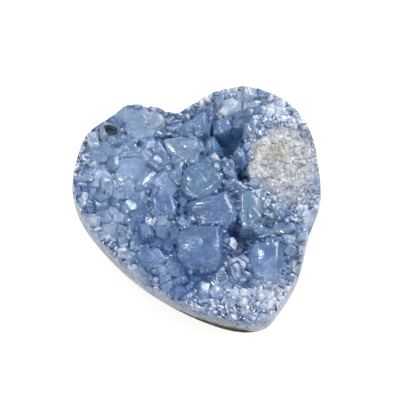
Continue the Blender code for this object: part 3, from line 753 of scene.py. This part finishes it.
def large_crystals():
    """The crystals that stand out, each with one more growth step on its top and small ones round it."""
    grown = []
    rng = random.Random(LARGE_SEED)
    patterns = pattern_crystals(16, LARGE_SEED, 3, EDGE_CRYSTAL_WEAR)
    for number, (row, crown) in enumerate(zip(OUTLINED, CROWNS)):
        kind, tone, facets = row[0], row[1], row[5]
        reach = max((p - crown.middle).length for p in crown.points)
        bm = cut_block((*crown.middle, crown.top), BLOCK, crown.planes(facets, rng, CHIPS_EACH))
        tinted(bm, tone, 0.09, rng)
        round_and_highlight_edges(bm, WIDE_WEAR if reach > WIDE else NARROW_WEAR, 0.16)
        grown.append(as_object(f"large_{number}", bm, kind))
        step = crown.terrace(rng)
        bm = cut_block((*step.middle, step.top), BLOCK, step.planes((), rng, TERRACE_CHIPS))
        tinted(bm, tone + rng.uniform(-0.04, 0.08), 0.05, rng)
        round_and_highlight_edges(bm, TERRACE_WEAR, 0.2)
        grown.append(as_object(f"terrace_{number}", bm, kind))
        if kind != GLINT:
            grown += edge_crystals(f"edge_{number}", crown, kind, tone, patterns, rng)
    return grown


def grown_crystals():
    """Every blue crystal: the large ones as placed, and smaller ones that fill between and over them."""
    grown = large_crystals()
    for name, (spacing, least, most, seed) in (("middling", MIDDLING), ("small", SMALL), ("fine", FINE)):
        rng = random.Random(seed)
        patterns = pattern_crystals(20, seed, 3, 0.0 if name == "fine" else SMALL_WEAR)
        for number, place in enumerate(scattered(spacing, rng)):
            length, width = rng.uniform(least, most), rng.uniform(least, most)
            pose = (rng.uniform(0, 360), rng.uniform(3, 28), rng.uniform(0, 180))
            lift = rng.uniform(0.1, 0.55)
            chance = rng.random()
            kind, tone = fill_look(place, rng)
            ragged = 0.16 * noise.noise(Vector((*place, 0.2)) * 300)
            if inside_share(place) > 1.0 or druse_share(place) + ragged < 0.92 or hollow_share(place) > 0.45:
                continue
            fine = fineness(place)
            if name == "middling" and (near_large(place, 0.85) or fine > 0.4 + 0.5 * chance):
                continue
            if name == "small" and (near_large(place, 0.98 - 0.3 * fine) or chance > 0.8):
                continue
            if name == "fine" and (fine < 0.25 or near_large(place, 0.9) or chance > fine + 0.5):
                continue
            top = fill_height(place) + length * lift + 0.0012 * fine
            if druse_share(place) < 1.1:
                top = max(top, druse_height(*place) + 0.25 * length)
            depth = max(length * 1.7, min(top - bed_height(*place) + 0.001, top - ROOTS_Z))
            pattern = patterns[number % len(patterns)]
            size = (length, width, depth / PATTERN_HEIGHT)
            grown.append(small_crystal(f"{name}_{number}", pattern, (*place, top), size, pose, kind, tone))
    return grown


def druse_point(angle, share):
    """A place in the druse's oval, whose edge is a little lumpy. The share is 1 on the edge."""
    share *= 1 + 0.07 * sin(3 * angle + 1)
    side = Vector((DRUSE_HALF[0] * share * cos(angle), DRUSE_HALF[1] * share * sin(angle)))
    side.rotate(Matrix.Rotation(DRUSE_TURN, 2))
    return DRUSE_MIDDLE + side


def druse_height(x, y):
    """The lumpy top of the white druse."""
    out = druse_share(Vector((x, y)))
    lumps = 0.0011 * noise.noise(Vector((x, y, 0.3)) * 330) + 0.0006 * noise.noise(Vector((x, y, 0.7)) * 800)
    return DRUSE_TOP - 0.0005 - 0.0026 * out**2.4 + lumps


def druse_body():
    """The closed body of the druse: flat below, lumpy above."""
    angles = [tau * n / DRUSE_SEGMENTS for n in range(DRUSE_SEGMENTS)]
    rings = [[Vector((*druse_point(angle, share), DRUSE_FLOOR)) for angle in angles]
             for share in steps(0.1, 0.97, 8)]
    for share in steps(0.99, 0.04, 26):
        places = [druse_point(angle, share) for angle in angles]
        rings.append([Vector((*place, druse_height(*place))) for place in places])
    low = Vector((*DRUSE_MIDDLE, DRUSE_FLOOR))
    high = Vector((*DRUSE_MIDDLE, druse_height(*DRUSE_MIDDLE)))
    return lofted("druse_body", rings, low, high)


def druse_grains():
    """The sugary grains all over the white druse, and the larger blunt crystals among them."""
    grains = []
    for name, (spacing, least, most, seed) in (("grain", DRUSE_GRAINS), ("lump", DRUSE_LUMPS)):
        rng = random.Random(seed)
        patterns = pattern_crystals(16, seed, 2, 0.0)
        for number, place in enumerate(scattered(spacing, rng)):
            length, width = rng.uniform(least, most), rng.uniform(least, most)
            pose = (rng.uniform(0, 360), rng.uniform(0, 60), rng.uniform(0, 180))
            lift = rng.uniform(-0.1, 0.45) if name == "grain" else rng.uniform(-0.1, 0.2)
            tone = rng.uniform(0.2, 0.8)
            if druse_share(place) > (1.03 if name == "grain" else 0.88) or inside_share(place) > 1.0:
                continue
            top = druse_height(*place) + length * lift
            size = (length, width, length)
            pattern = patterns[number % len(patterns)]
            grains.append(small_crystal(f"{name}_{number}", pattern, (*place, top), size, pose, DRUSE, tone))
    return grains


def fold(target, operation, tools):
    """Joins tools to a closed mesh, or cuts them from it, and works the result out at once."""
    held = bpy.data.collections.new("tools")
    for tool in tools:
        held.objects.link(tool)
    bpy.context.scene.collection.children.link(held)
    bpy.context.scene.collection.objects.link(target)
    step = target.modifiers.new(operation, "BOOLEAN")
    step.operation = operation
    step.solver = "MANIFOLD"
    step.operand_type = "COLLECTION"
    step.collection = held
    graph = bpy.context.evaluated_depsgraph_get()
    mesh = bpy.data.meshes.new_from_object(target.evaluated_get(graph))
    name = target.name
    for tool in (*tools, target):
        bpy.data.objects.remove(tool, do_unlink=True)
    bpy.data.collections.remove(held)
    return bpy.data.objects.new(name, mesh)


def islands(bm):
    """The separate parts of a mesh, each as the set of its corners."""
    left = set(bm.verts)
    while left:
        found = set()
        edge = [left.pop()]
        while edge:
            vert = edge.pop()
            found.add(vert)
            for link in vert.link_edges:
                other = link.other_vert(vert)
                if other in left:
                    left.discard(other)
                    edge.append(other)
        yield found


def finished(piece, name, smooth_angle):
    """Moves a piece to its place in the frame, drops closed voids and chips, and shades it."""
    bm = bmesh.new()
    bm.from_mesh(piece.data)
    found = sorted(islands(bm), key=len)
    for small in found[:-1]:
        bmesh.ops.delete(bm, geom=list(small), context="VERTS")
    bm.transform(Matrix.Translation(-CENTRE))
    bm.to_mesh(piece.data)
    bm.free()
    piece.name = name
    piece.data.name = name
    piece.data.shade_smooth()
    piece.data.set_sharp_from_angle(angle=radians(smooth_angle))
    bpy.context.scene.collection.objects.link(piece)
    return piece


def chip_solid():
    """The broken nick low on the right side: a few flat and shell-like breaks."""
    bm = bmesh.new()
    bmesh.ops.create_icosphere(bm, subdivisions=3, radius=CHIP_RADIUS)
    for vert in bm.verts:
        vert.co *= 1 + 0.22 * noise.noise(vert.co * 230) + 0.07 * noise.noise(vert.co * 800)
    bmesh.ops.translate(bm, verts=bm.verts, vec=CHIP)
    return as_object("chip", bm, LILAC, 0.5)


def hole_ring(z, grow, wander):
    """A ring of the rough upright pocket at the dark recess, a little long towards the rim."""
    ring = []
    for number in range(HOLE_SEGMENTS):
        angle = tau * number / HOLE_SEGMENTS
        lumps = 0.14 * sin(2 * angle + 0.5) + 0.1 * sin(5 * angle + wander * z)
        radius = HOLE_RADIUS * (1 + lumps) + grow
        side = Vector((radius * HOLE_STRETCH * cos(angle), radius * sin(angle)))
        side.rotate(Matrix.Rotation(HOLE_TURN, 2))
        ring.append(Vector((*(HOLE + side), z)))
    return ring


def hole_solid():
    rings = [hole_ring(z, 0.0, 900) for z in steps(HOLE_STARTS, CREST_Z, 8)]
    return lofted("hole", rings, Vector((*HOLE, HOLE_STARTS)), Vector((*HOLE, CREST_Z)), GREEN)


def hole_finger():
    """The host rock that climbs to the floor of the recess."""
    rings = [hole_ring(z, 0.0004, 700) for z in steps(FINGER_STARTS, HOLE_FLOOR, 10)]
    finger = lofted("finger", rings, Vector((*HOLE, FINGER_STARTS)), Vector((*HOLE, HOLE_FLOOR + 0.0003)))
    return fold(finger, "INTERSECT", [skin_solid("skin", SKIN_FROM, BACK, PROUD)])


class Nodes:
    """A material's node tree, with short calls for the nodes used here."""

    def __init__(self, name):
        self.material = bpy.data.materials.new(name)
        self.material.use_nodes = True
        self.tree = self.material.node_tree
        self.shader = self.tree.nodes["Principled BSDF"]
        self.place = self.node("TexCoord").outputs["Object"]

    def feed(self, socket, value):
        """Links a socket to a node's output, or sets it to a number, a vector or a colour."""
        if isinstance(value, bpy.types.NodeSocket):
            self.tree.links.new(value, socket)
        elif socket.type == "RGBA":
            socket.default_value = (*value, 1)
        else:
            socket.default_value = value

    def node(self, kind, inputs=None, **settings):
        """A node with its settings, and with its inputs given by name or number."""
        node = self.tree.nodes.new("ShaderNode" + kind)
        for name, value in settings.items():
            setattr(node, name, value)
        for key, value in (inputs or {}).items():
            self.feed(node.inputs[key], value)
        return node

    def tone(self):
        """The tone of each face, which the mesh carries."""
        return self.node("Attribute", attribute_name="tone").outputs["Fac"]

    def noise(self, scale, detail=3.0, roughness=0.55, distortion=0.0, place=None):
        inputs = {"Vector": place or self.place, "Scale": scale, "Detail": detail}
        inputs |= {"Roughness": roughness, "Distortion": distortion}
        return self.node("TexNoise", inputs).outputs["Fac"]

    def cells(self, scale, feature="DISTANCE_TO_EDGE", output="Distance", place=None):
        inputs = {"Vector": place or self.place, "Scale": scale}
        return self.node("TexVoronoi", inputs, feature=feature).outputs[output]

    def moved(self, offset=(0, 0, 0), scale=(1, 1, 1), turn=(0, 0, 0)):
        inputs = {"Vector": self.place, "Location": offset, "Scale": scale, "Rotation": turn}
        return self.node("Mapping", inputs).outputs["Vector"]

    def ramp(self, source, *stops):
        """A colour ramp through (position, colour) stops."""
        node = self.node("ValToRGB", {"Fac": source})
        elements = node.color_ramp.elements
        while len(elements) < len(stops):
            elements.new(0.5)
        for element, (position, colour) in zip(elements, stops):
            element.position = position
            element.color = (*colour, 1)
        return node.outputs["Color"]

    def fade(self, source, low, high, start=0.0, end=1.0):
        """A smooth change from start to end, while the source goes from low to high."""
        inputs = {"Value": source, "From Min": low, "From Max": high, "To Min": start, "To Max": end}
        return self.node("MapRange", inputs, clamp=True, interpolation_type="SMOOTHSTEP").outputs["Result"]

    def mix(self, share, first, second):
        return self.node("Mix", {0: share, 6: first, 7: second}, data_type="RGBA").outputs[2]

    def maths(self, operation, first, second):
        return self.node("Math", {0: first, 1: second}, operation=operation).outputs[0]

    def times(self, first, second):
        return self.maths("MULTIPLY", first, second)

    def plus(self, first, second):
        return self.maths("ADD", first, second)

    def minus(self, first, second):
        return self.maths("SUBTRACT", first, second)

    def most(self, first, second):
        return self.maths("MAXIMUM", first, second)

    def nearness(self, spot, radius):
        """1 at a spot, falling to 0 at a radius from it."""
        away = self.node("VectorMath", {0: self.place, 1: Vector(spot) - CENTRE}, operation="DISTANCE")
        return self.fade(away.outputs["Value"], 0, radius, 1, 0)

    def height_over_dark_band(self, climbing=True):
        """Height over the ragged edge of the dark band, with or without its climb left of the tip."""
        height = self.minus(self.node("SeparateXYZ", {"Vector": self.place}).outputs["Z"], DARK_BAND_Z)
        ragged = self.fade(self.noise(190, 6.0, 0.68), 0.34, 0.66, -DARK_BAND_RAGGED, DARK_BAND_RAGGED)
        height = self.plus(height, ragged)
        if climbing:
            climb = self.times(self.nearness(DARK_BAND_PEAK, DARK_BAND_REACH), DARK_BAND_CLIMB)
            bare = self.times(self.nearness(BARE_TIP, BARE_REACH), BARE_DROP)
            height = self.plus(self.minus(height, climb), bare)
        return height

    # The dark band's colour along the lower edge of the wall: near black, brown and pale olive in patches
    def dark_band_colour(self):
        dark, brown, pale = (0.006, 0.006, 0.004), (0.022, 0.020, 0.012), (0.10, 0.09, 0.055)
        return self.ramp(self.noise(260, 5.0, 0.65), (0.36, dark), (0.50, brown), (0.66, pale))

    def bump(self, height, strength, distance):
        node = self.node("Bump", {"Strength": strength, "Distance": distance, "Height": height})
        self.set(Normal=node.outputs["Normal"])

    def set(self, **values):
        """Sets or links the shader's inputs, whose names have _ here for a space."""
        for name, value in values.items():
            self.feed(self.shader.inputs[name.replace("_", " ")], value)


CELESTITE_IOR = 1.62
BLUE_DEPTH = (0.25, 0.55, 0.96)
BLUE_DENSITY = 65.0

# The kinds of celestite: the colours of a deep, a middling and a pale face, and how clear, rough,
# broken up by inner faces and speckled with painted sparkle it is
BLUE_KINDS = (
    ("clear", (0.05, 0.14, 0.34), (0.15, 0.31, 0.59), (0.34, 0.52, 0.79), 0.72, 0.10, 0.14, 0.8),
    ("lilac", (0.08, 0.165, 0.35), (0.18, 0.315, 0.57), (0.38, 0.525, 0.77), 0.6, 0.14, 0.16, 0.8),
    ("grey-green", (0.07, 0.16, 0.32), (0.148, 0.295, 0.53), (0.355, 0.52, 0.715), 0.65, 0.12, 0.06, 0.5),
    ("frosted", (0.18, 0.25, 0.40), (0.33, 0.40, 0.55), (0.52, 0.57, 0.67), 0.4, 0.22, 0.22, 1.0),
    # The deep kind is painted shade: the darker blue of the crystals down in the hollows and pits
    ("deep", (0.02, 0.06, 0.16), (0.045, 0.12, 0.28), (0.11, 0.22, 0.42), 0.5, 0.30, 0.15, 0.3),
)
POLISHED_WALL = (
    "polished wall", (0.035, 0.07, 0.16), (0.10, 0.145, 0.26), (0.26, 0.31, 0.43), 0.3, 0.35, 0.40, 0.8
)
# The glint kind is a painted highlight: near white and not clear
BRIGHT_GLINT = ("glint", (0.8, 0.84, 0.88), (0.9, 0.93, 0.96), (0.95, 0.97, 1.0), 0.0, 0.2, 0.0, 0.0)
BRIGHTEST = (0.62, 0.68, 0.78)
MILK_IN_SHADE = (0.30, 0.35, 0.46)
MILK = (0.58, 0.61, 0.68)
VEIL_WHITE = (0.62, 0.67, 0.76)
SPARKLE_SPECK_WHITE = (0.88, 0.91, 0.95)
BEIGE = (0.26, 0.27, 0.26)
ROCK_THROUGH_CRYSTAL = (0.20, 0.215, 0.18)

# The grey stain beside the dark recess
STAIN = (-0.0212, 0.0346, 0.0315)
STAIN_REACH = 0.0056
STAIN_GREY = (0.125, 0.125, 0.15)

# The hollows and pits, painted darker: painted shade, with the deeper blue of thick crystal: x, y, z, radius,
# colour
PIT_BLUE = (0.024, 0.075, 0.19)
PIT_EDGE_BLUE = (0.05, 0.14, 0.33)
GREY_BLUE = (0.030, 0.082, 0.19)
NAVY = (0.018, 0.045, 0.14)
VALLEY_BLUE = (0.042, 0.168, 0.47)
HOLLOW_SHADE_SPOTS = (
    (0.0150, 0.0162, 0.0255, 0.0090, PIT_BLUE),
    (0.0100, 0.0165, 0.0280, 0.0050, PIT_EDGE_BLUE),
    (0.0163, 0.0040, 0.0262, 0.0066, GREY_BLUE),
    (0.0072, -0.0168, 0.0268, 0.0062, NAVY),
    (-0.0061, -0.0004, 0.0285, 0.0068, VALLEY_BLUE),
    (-0.0099, -0.0228, 0.0290, 0.0060, VALLEY_BLUE),
    (-0.0190, -0.0134, 0.0290, 0.0046, VALLEY_BLUE),
    (-0.0160, -0.0060, 0.0280, 0.0046, VALLEY_BLUE),
)

# Frosted patches on the faces: x, y, z, radius
FROSTED_SPOTS = (
    (-0.0010, -0.0125, 0.0360, 0.0032),
    (-0.0240, 0.0325, 0.0315, 0.0030),
    (0.0085, -0.0045, 0.0355, 0.0014),
    (-0.0020, 0.0160, 0.0360, 0.0040),
)

# Milky parts of the cluster: x, y, z, radius, how milky
MILKY_SPOTS = (
    (0.0370, 0.0180, 0.0320, 0.0140, 0.75),
    (0.0380, 0.0000, 0.0320, 0.0120, 0.70),
    (0.0310, -0.0180, 0.0320, 0.0110, 0.50),
    (0.0100, -0.0400, 0.0310, 0.0130, 0.60),
    (-0.0010, -0.0350, 0.0310, 0.0100, 0.45),
    (0.0220, 0.0330, 0.0320, 0.0110, 0.45),
    (-0.0240, 0.0180, 0.0320, 0.0190, 0.26),
    (-0.0300, 0.0000, 0.0310, 0.0120, 0.30),
    (-0.0240, 0.0330, 0.0320, 0.0060, 0.60),
    (0.0200, 0.0030, 0.0320, 0.0060, 0.45),
    (0.0180, 0.0280, 0.0320, 0.0100, 0.25),
)


def over_dark_band(nodes, colour):
    """The colour of a cut wall above the dark band: beige in patches, and the rock shows through low down."""
    height = nodes.height_over_dark_band()
    colour = nodes.mix(nodes.fade(nodes.noise(120, 3.0), 0.47, 0.60, 0, 0.45), colour, BEIGE)
    colour = nodes.mix(nodes.fade(height, 0.0008, 0.0044, 0.9, 0), colour, ROCK_THROUGH_CRYSTAL)
    return nodes.mix(nodes.fade(height, 0.0004, 0.0014, 0.97, 0), colour, nodes.dark_band_colour())


def celestite(name, deep, middle, pale, clear, rough, mosaic, sparkle_share, cut=False, shade_in_hollows=True):
    """Celestite of one kind: the tone of each face runs from deep to pale, broken up by the inner faces
    and cracks that show through, under thin white veils."""
    nodes = Nodes("celestite " + name)
    clouds = nodes.noise(260, 4.0, 0.6, 0.5)
    fine = nodes.noise(1300, 3.0, 0.65, 0.4)
    tone = nodes.plus(nodes.tone(), nodes.fade(clouds, 0.3, 0.7, -0.12, 0.12))
    grain = 0.05 + 0.35 * mosaic
    tone = nodes.plus(tone, nodes.fade(fine, 0.3, 0.7, -grain, grain))
    seen_through = nodes.moved((0.003, 0.001, 0), (1, 1.7, 1.2), (0.7, 0.4, 0.9))
    for scale, share in ((270, 1.0), (640, 0.8)):
        inner = nodes.minus(nodes.cells(scale, "F1", "Color", seen_through), 0.5)
        tone = nodes.plus(tone, nodes.times(inner, mosaic * share))
    colour = nodes.ramp(tone, (0.15, deep), (0.48, middle), (0.80, pale), (1.0, BRIGHTEST))

    milk = 0.0
    for *spot, radius, share in MILKY_SPOTS:
        milk = nodes.most(nodes.times(nodes.nearness(spot, radius), share), milk)
    colour = nodes.mix(milk, colour, nodes.ramp(tone, (0.3, MILK_IN_SHADE), (0.75, MILK)))

    veils = nodes.cells(240, place=nodes.moved((0.01, 0, 0), (1, 1.6, 0.8), (0.5, 0.3, 0.2)))
    veils = nodes.times(nodes.fade(veils, 0, 0.03, 1, 0), nodes.fade(clouds, 0.50, 0.62))
    cracks = nodes.fade(nodes.cells(640, place=seen_through), 0, 0.05, 1, 0)
    cracks = nodes.times(cracks, nodes.fade(nodes.noise(420, 2.0), 0.48, 0.58, 0, mosaic * 3))
    veils = nodes.times(nodes.most(veils, cracks), min(0.5, 0.1 + 2 * mosaic))
    frosted = nodes.fade(nodes.noise(150, 2.0), 0.50, 0.64, 0, 0.8)
    for *spot, radius in FROSTED_SPOTS:
        frosted = nodes.most(frosted, nodes.nearness(spot, radius))
    white = nodes.most(veils, nodes.times(nodes.fade(fine, 0.58, 0.70, 0, 0.75), frosted))
    colour = nodes.mix(white, colour, VEIL_WHITE)

    clearness = clear
    # Painted shade, with a deeper blue: near each hollow the colour turns darker and the crystal less clear
    for *spot, radius, blue in HOLLOW_SHADE_SPOTS if shade_in_hollows else ():
        near = nodes.nearness(spot, radius)
        colour = nodes.mix(nodes.times(near, 0.9), colour, blue)
        clearness = nodes.times(nodes.minus(1.0, nodes.times(near, 0.6)), clearness)

    # Painted sparkle: white specks, like tiny frosted chips, that stand in for glints whatever the lamps
    sparkle_place = nodes.moved(scale=(1, 1.5, 1), turn=(0.4, 0.2, 0.6))
    chance = nodes.minus(nodes.cells(620, "F1", "Color", sparkle_place), 0.76)
    sparkle_specks = nodes.cells(620, "F1", place=sparkle_place)
    sparkle_specks = nodes.maths("LESS_THAN", sparkle_specks, nodes.times(chance, sparkle_share))
    colour = nodes.mix(sparkle_specks, colour, SPARKLE_SPECK_WHITE)
    stained = nodes.fade(nodes.nearness(STAIN, STAIN_REACH), 0, 0.6, 0, 0.85)
    colour = nodes.mix(stained, colour, STAIN_GREY)
    if cut:
        colour = over_dark_band(nodes, colour)

    for cover in (white, milk, sparkle_specks):
        clearness = nodes.times(nodes.minus(1.0, cover), clearness)
    roughness = nodes.fade(fine, 0.35, 0.7, rough * 0.6, rough * 1.5)
    nodes.set(Base_Color=colour, Transmission_Weight=clearness, Roughness=roughness, IOR=CELESTITE_IOR)
    nodes.set(Specular_IOR_Level=0.1 if cut else 0.5)
    growth_lines = nodes.moved(scale=(1, 3.2, 1), turn=(0.3, 0.2, 0.7))
    nodes.bump(nodes.noise(700, 3.0, 0.55, 0.3, growth_lines), 0.3, 0.00015)
    depth = nodes.node("VolumeAbsorption", {"Color": BLUE_DEPTH, "Density": BLUE_DENSITY})
    nodes.feed(nodes.tree.nodes["Material Output"].inputs["Volume"], depth.outputs["Volume"])
    return nodes.material


def polished_wall():
    """The cut and polished side, where the grains of the crystals show above the dark band."""
    return celestite(*POLISHED_WALL, cut=True)


def celestite_kinds():
    """The materials of the crystals' mesh, in the order of its slots."""
    kinds = [celestite(*kind) for kind in BLUE_KINDS]
    return kinds + [polished_wall(), rock_material("dark rind"), celestite(*BRIGHT_GLINT, shade_in_hollows=False)]


ROCK_COLOURS = (
    (0.30, (0.07, 0.065, 0.045)),
    (0.42, (0.22, 0.20, 0.145)),
    (0.54, (0.36, 0.34, 0.285)),
    (0.70, (0.48, 0.465, 0.42)),
)
BLOTCH_GREY = (0.30, 0.33, 0.39)
VEIN_BROWN = (0.10, 0.085, 0.05)
GRAIN_BROWN = (0.11, 0.105, 0.08)
PIT_BROWN = (0.05, 0.042, 0.028)


def rock_material(name, gloss=0.0):
    """Polished host rock: cream and grey with brown veins, and a dark olive band along the celestite."""
    nodes = Nodes(name)
    bands = nodes.noise(90, 6.0, 0.6, 1.2, nodes.moved(scale=(1, 1, 2.6), turn=(0.12, 0.1, 0)))
    colour = nodes.ramp(bands, *ROCK_COLOURS)
    blotches = nodes.fade(nodes.noise(160, 4.0, 0.6, 0.5), 0.55, 0.66, 0, 0.7)
    colour = nodes.mix(blotches, colour, BLOTCH_GREY)
    veins = nodes.minus(nodes.noise(48, 5.0, 0.6, 0.9), 0.5)
    veins = nodes.fade(nodes.most(veins, nodes.times(veins, -1.0)), 0.0, 0.012, 0.6, 0)
    colour = nodes.mix(veins, colour, VEIN_BROWN)
    sinks = nodes.times(nodes.nearness(DARK_BAND_PEAK, DARK_BAND_REACH), DARK_BAND_SINKS)
    lower = nodes.plus(nodes.height_over_dark_band(climbing=False), sinks)
    lower = nodes.fade(lower, -DARK_BAND_BELOW - 0.0005, -DARK_BAND_BELOW + 0.0005)
    band = nodes.times(lower, nodes.fade(nodes.height_over_dark_band(), 0.0006, 0.0016, 1, 0))
    # The dark band along the rock's upper edge, against the celestite
    colour = nodes.mix(nodes.times(band, 0.95), colour, nodes.dark_band_colour())
    # Painted shade: the rock darkens towards the floor of the recess
    recess = nodes.nearness((*HOLE, HOLE_FLOOR), HOLE_SHADE_REACH)
    colour = nodes.mix(nodes.fade(recess, 0, 0.4, 0, 0.85), colour, HOLE_SHADE_COLOUR)
    grain = nodes.noise(2200, 3.0, 0.7)
    colour = nodes.mix(nodes.fade(grain, 0.3, 0.8, 0, 0.35), colour, GRAIN_BROWN)
    pits = nodes.fade(nodes.noise(620, 3.0, 0.6), 0.66, 0.72)
    colour = nodes.mix(nodes.times(pits, 0.6), colour, PIT_BROWN)
    roughness = nodes.plus(nodes.fade(bands, 0.3, 0.7, 0.34, 0.18), nodes.times(band, 0.6))
    nodes.set(Base_Color=colour, Roughness=roughness, IOR=1.5, Specular_IOR_Level=gloss)
    nodes.bump(nodes.minus(nodes.times(grain, 0.25), pits), 0.35, 0.00025)
    return nodes.material


def roots_material():
    """The rock's upper side seen through the crystals: pale and blue roots, with darker gaps."""
    nodes = Nodes("crystal roots")
    tone = nodes.times(nodes.cells(330, "F1", "Color", nodes.moved(scale=(1, 1, 0.4))), 0.6)
    tone = nodes.plus(tone, nodes.times(nodes.noise(420, 4.0), 0.5))
    blues = (0.30, (0.05, 0.09, 0.18)), (0.45, (0.30, 0.36, 0.46))
    whites = (0.60, (0.70, 0.72, 0.76)), (0.75, (0.95, 0.95, 0.96))
    nodes.set(Base_Color=nodes.ramp(tone, *blues, *whites), Roughness=0.5)
    return nodes.material


# The stains of the white druse: x, y, z, radius, how strong, colour
DRUSE_STAINS = (
    (0.0282, 0.0056, 0.0340, 0.0060, 0.70, (0.27, 0.27, 0.18)),
    (0.0235, 0.0075, 0.0335, 0.0075, 0.45, (0.60, 0.56, 0.57)),
)
DRUSE_COLOURS = ((0.22, (0.26, 0.30, 0.38)), (0.45, (0.44, 0.46, 0.50)), (0.70, (0.62, 0.62, 0.62)))
DRUSE_MARGIN = (0.0285, 0.0035, 0.0340)
DRUSE_MARGIN_REACH = 0.0145
MARGIN_BLUE = (0.30, 0.35, 0.46)


def druse_material():
    """Sugary white, greyer in the gaps and bluer at its margin, with an olive and a pinkish stain."""
    nodes = Nodes("white sugary druse")
    tone = nodes.fade(nodes.noise(230, 4.0), 0.32, 0.68, 0.05, 0.48)
    tone = nodes.plus(nodes.times(nodes.tone(), 0.55), tone)
    colour = nodes.ramp(tone, *DRUSE_COLOURS)
    margin = nodes.fade(nodes.nearness(DRUSE_MARGIN, DRUSE_MARGIN_REACH), 0.0, 0.45, 0.75, 0)
    colour = nodes.mix(margin, colour, MARGIN_BLUE)
    for *spot, radius, share, stain in DRUSE_STAINS:
        colour = nodes.mix(nodes.times(nodes.nearness(spot, radius), share), colour, stain)
    nodes.set(Base_Color=colour, Transmission_Weight=0.3, Roughness=0.25, IOR=1.6)
    nodes.bump(nodes.noise(2400, 3.0), 0.4, 0.00012)
    return nodes.material


def floor_material():
    nodes = Nodes("pale floor")
    colour = nodes.ramp(nodes.noise(8, 2.0), (0.4, (0.93, 0.93, 0.93)), (0.6, (0.95, 0.95, 0.95)))
    nodes.set(Base_Color=colour, Roughness=0.8, Emission_Color=(1, 1, 1), Emission_Strength=0.12)
    return nodes.material


def dress(piece, *materials):
    """Gives a piece its materials in slot order, keeping each face's slot."""
    slots = piece.data.materials
    for number, material in enumerate(materials):
        if number < len(slots):
            slots[number] = material
        else:
            slots.append(material)


def build_heart():
    body = layer_solid("celestite", lambda x, y: rock_height(x, y) - ROOTED, massive_height, CLEAR)
    crystals = fold(body, "UNION", grown_crystals())
    crystals = fold(crystals, "INTERSECT", [wall_skin()])
    crystals = fold(crystals, "DIFFERENCE", [chip_solid(), hole_solid()])
    crystals = finished(crystals, "celestite_cluster", 28)
    dress(crystals, *celestite_kinds())
    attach(crystals, "root")
    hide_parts("celestite_crystals")

    space = layer_solid("space", rock_height, lambda x, y: CREST_Z, ROOTS)
    rock = fold(rock_skin(), "DIFFERENCE", [space])
    rock = fold(rock, "UNION", [hole_finger()])
    rock = finished(rock, "polished_rock_back", 35)
    dress(rock, rock_material("polished host rock", 0.3), roots_material(), rock_material("upper host rock"))
    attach(rock, "root")
    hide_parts("matrix_base")

    druse = fold(druse_body(), "UNION", druse_grains())
    druse = fold(druse, "INTERSECT", [skin_solid("skin", SKIN_FROM, DRUSE_WALL, PROUD)])
    druse = finished(druse, "sugary_white_druse", 28)
    dress(druse, druse_material(), polished_wall())
    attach(druse, "root")
    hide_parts("white_druse")


def build_stage():
    bm = bmesh.new()
    bmesh.ops.create_grid(bm, x_segments=2, y_segments=2, size=3.0)
    floor = as_object("floor", bm)
    floor.data.materials.append(floor_material())
    bpy.context.scene.collection.objects.link(floor)


def towards(azimuth, elevation):
    """The way from the heart to a camera or a lamp. Azimuth 0 is in front of the tip."""
    level = cos(elevation)
    return Vector((sin(azimuth) * level, -cos(azimuth) * level, sin(elevation)))


def placed(thing, eye, target):
    """Puts a camera or a lamp at a place, turned to its target."""
    thing.location = eye
    thing.rotation_euler = (Vector(target) - eye).to_track_quat("-Z", "Y").to_euler()
    bpy.context.scene.collection.objects.link(thing)


def build_camera():
    camera = bpy.data.objects.new("camera", bpy.data.cameras.new("camera"))
    camera.data.lens = LENS
    camera.data.sensor_width = SENSOR
    camera.data.clip_start = 0.01
    target = CAMERA_TARGET - CENTRE
    placed(camera, target + towards(CAMERA_AZIMUTH, CAMERA_ELEVATION) * CAMERA_DISTANCE, target)
    bpy.context.scene.camera = camera


def area_light(name, azimuth, elevation, distance, size, power):
    light = bpy.data.lights.new(name, "AREA")
    light.shape = "DISK"
    light.size = size
    light.energy = power
    eye = towards(radians(azimuth), radians(elevation)) * distance
    placed(bpy.data.objects.new(name, light), eye, LIT_PLACE)


def build_light():
    area_light("window", 120, 42, 0.9, 0.6, 6.0)
    area_light("side", -60, 45, 1.0, 0.5, 2.5)
    for number, (azimuth, elevation) in enumerate(GLINT_LAMPS):
        area_light(f"glint_{number}", azimuth, elevation, 1.0, 0.07, 1.0)
    world = bpy.data.worlds.new("studio")
    world.use_nodes = True
    sky = world.node_tree.nodes["Background"].inputs
    sky["Color"].default_value = (1, 1, 1, 1)
    sky["Strength"].default_value = SKY_STRENGTH
    bpy.context.scene.world = world
    bpy.context.scene.view_settings.view_transform = "Standard"


build_camera()
build_heart()
build_stage()
build_light()
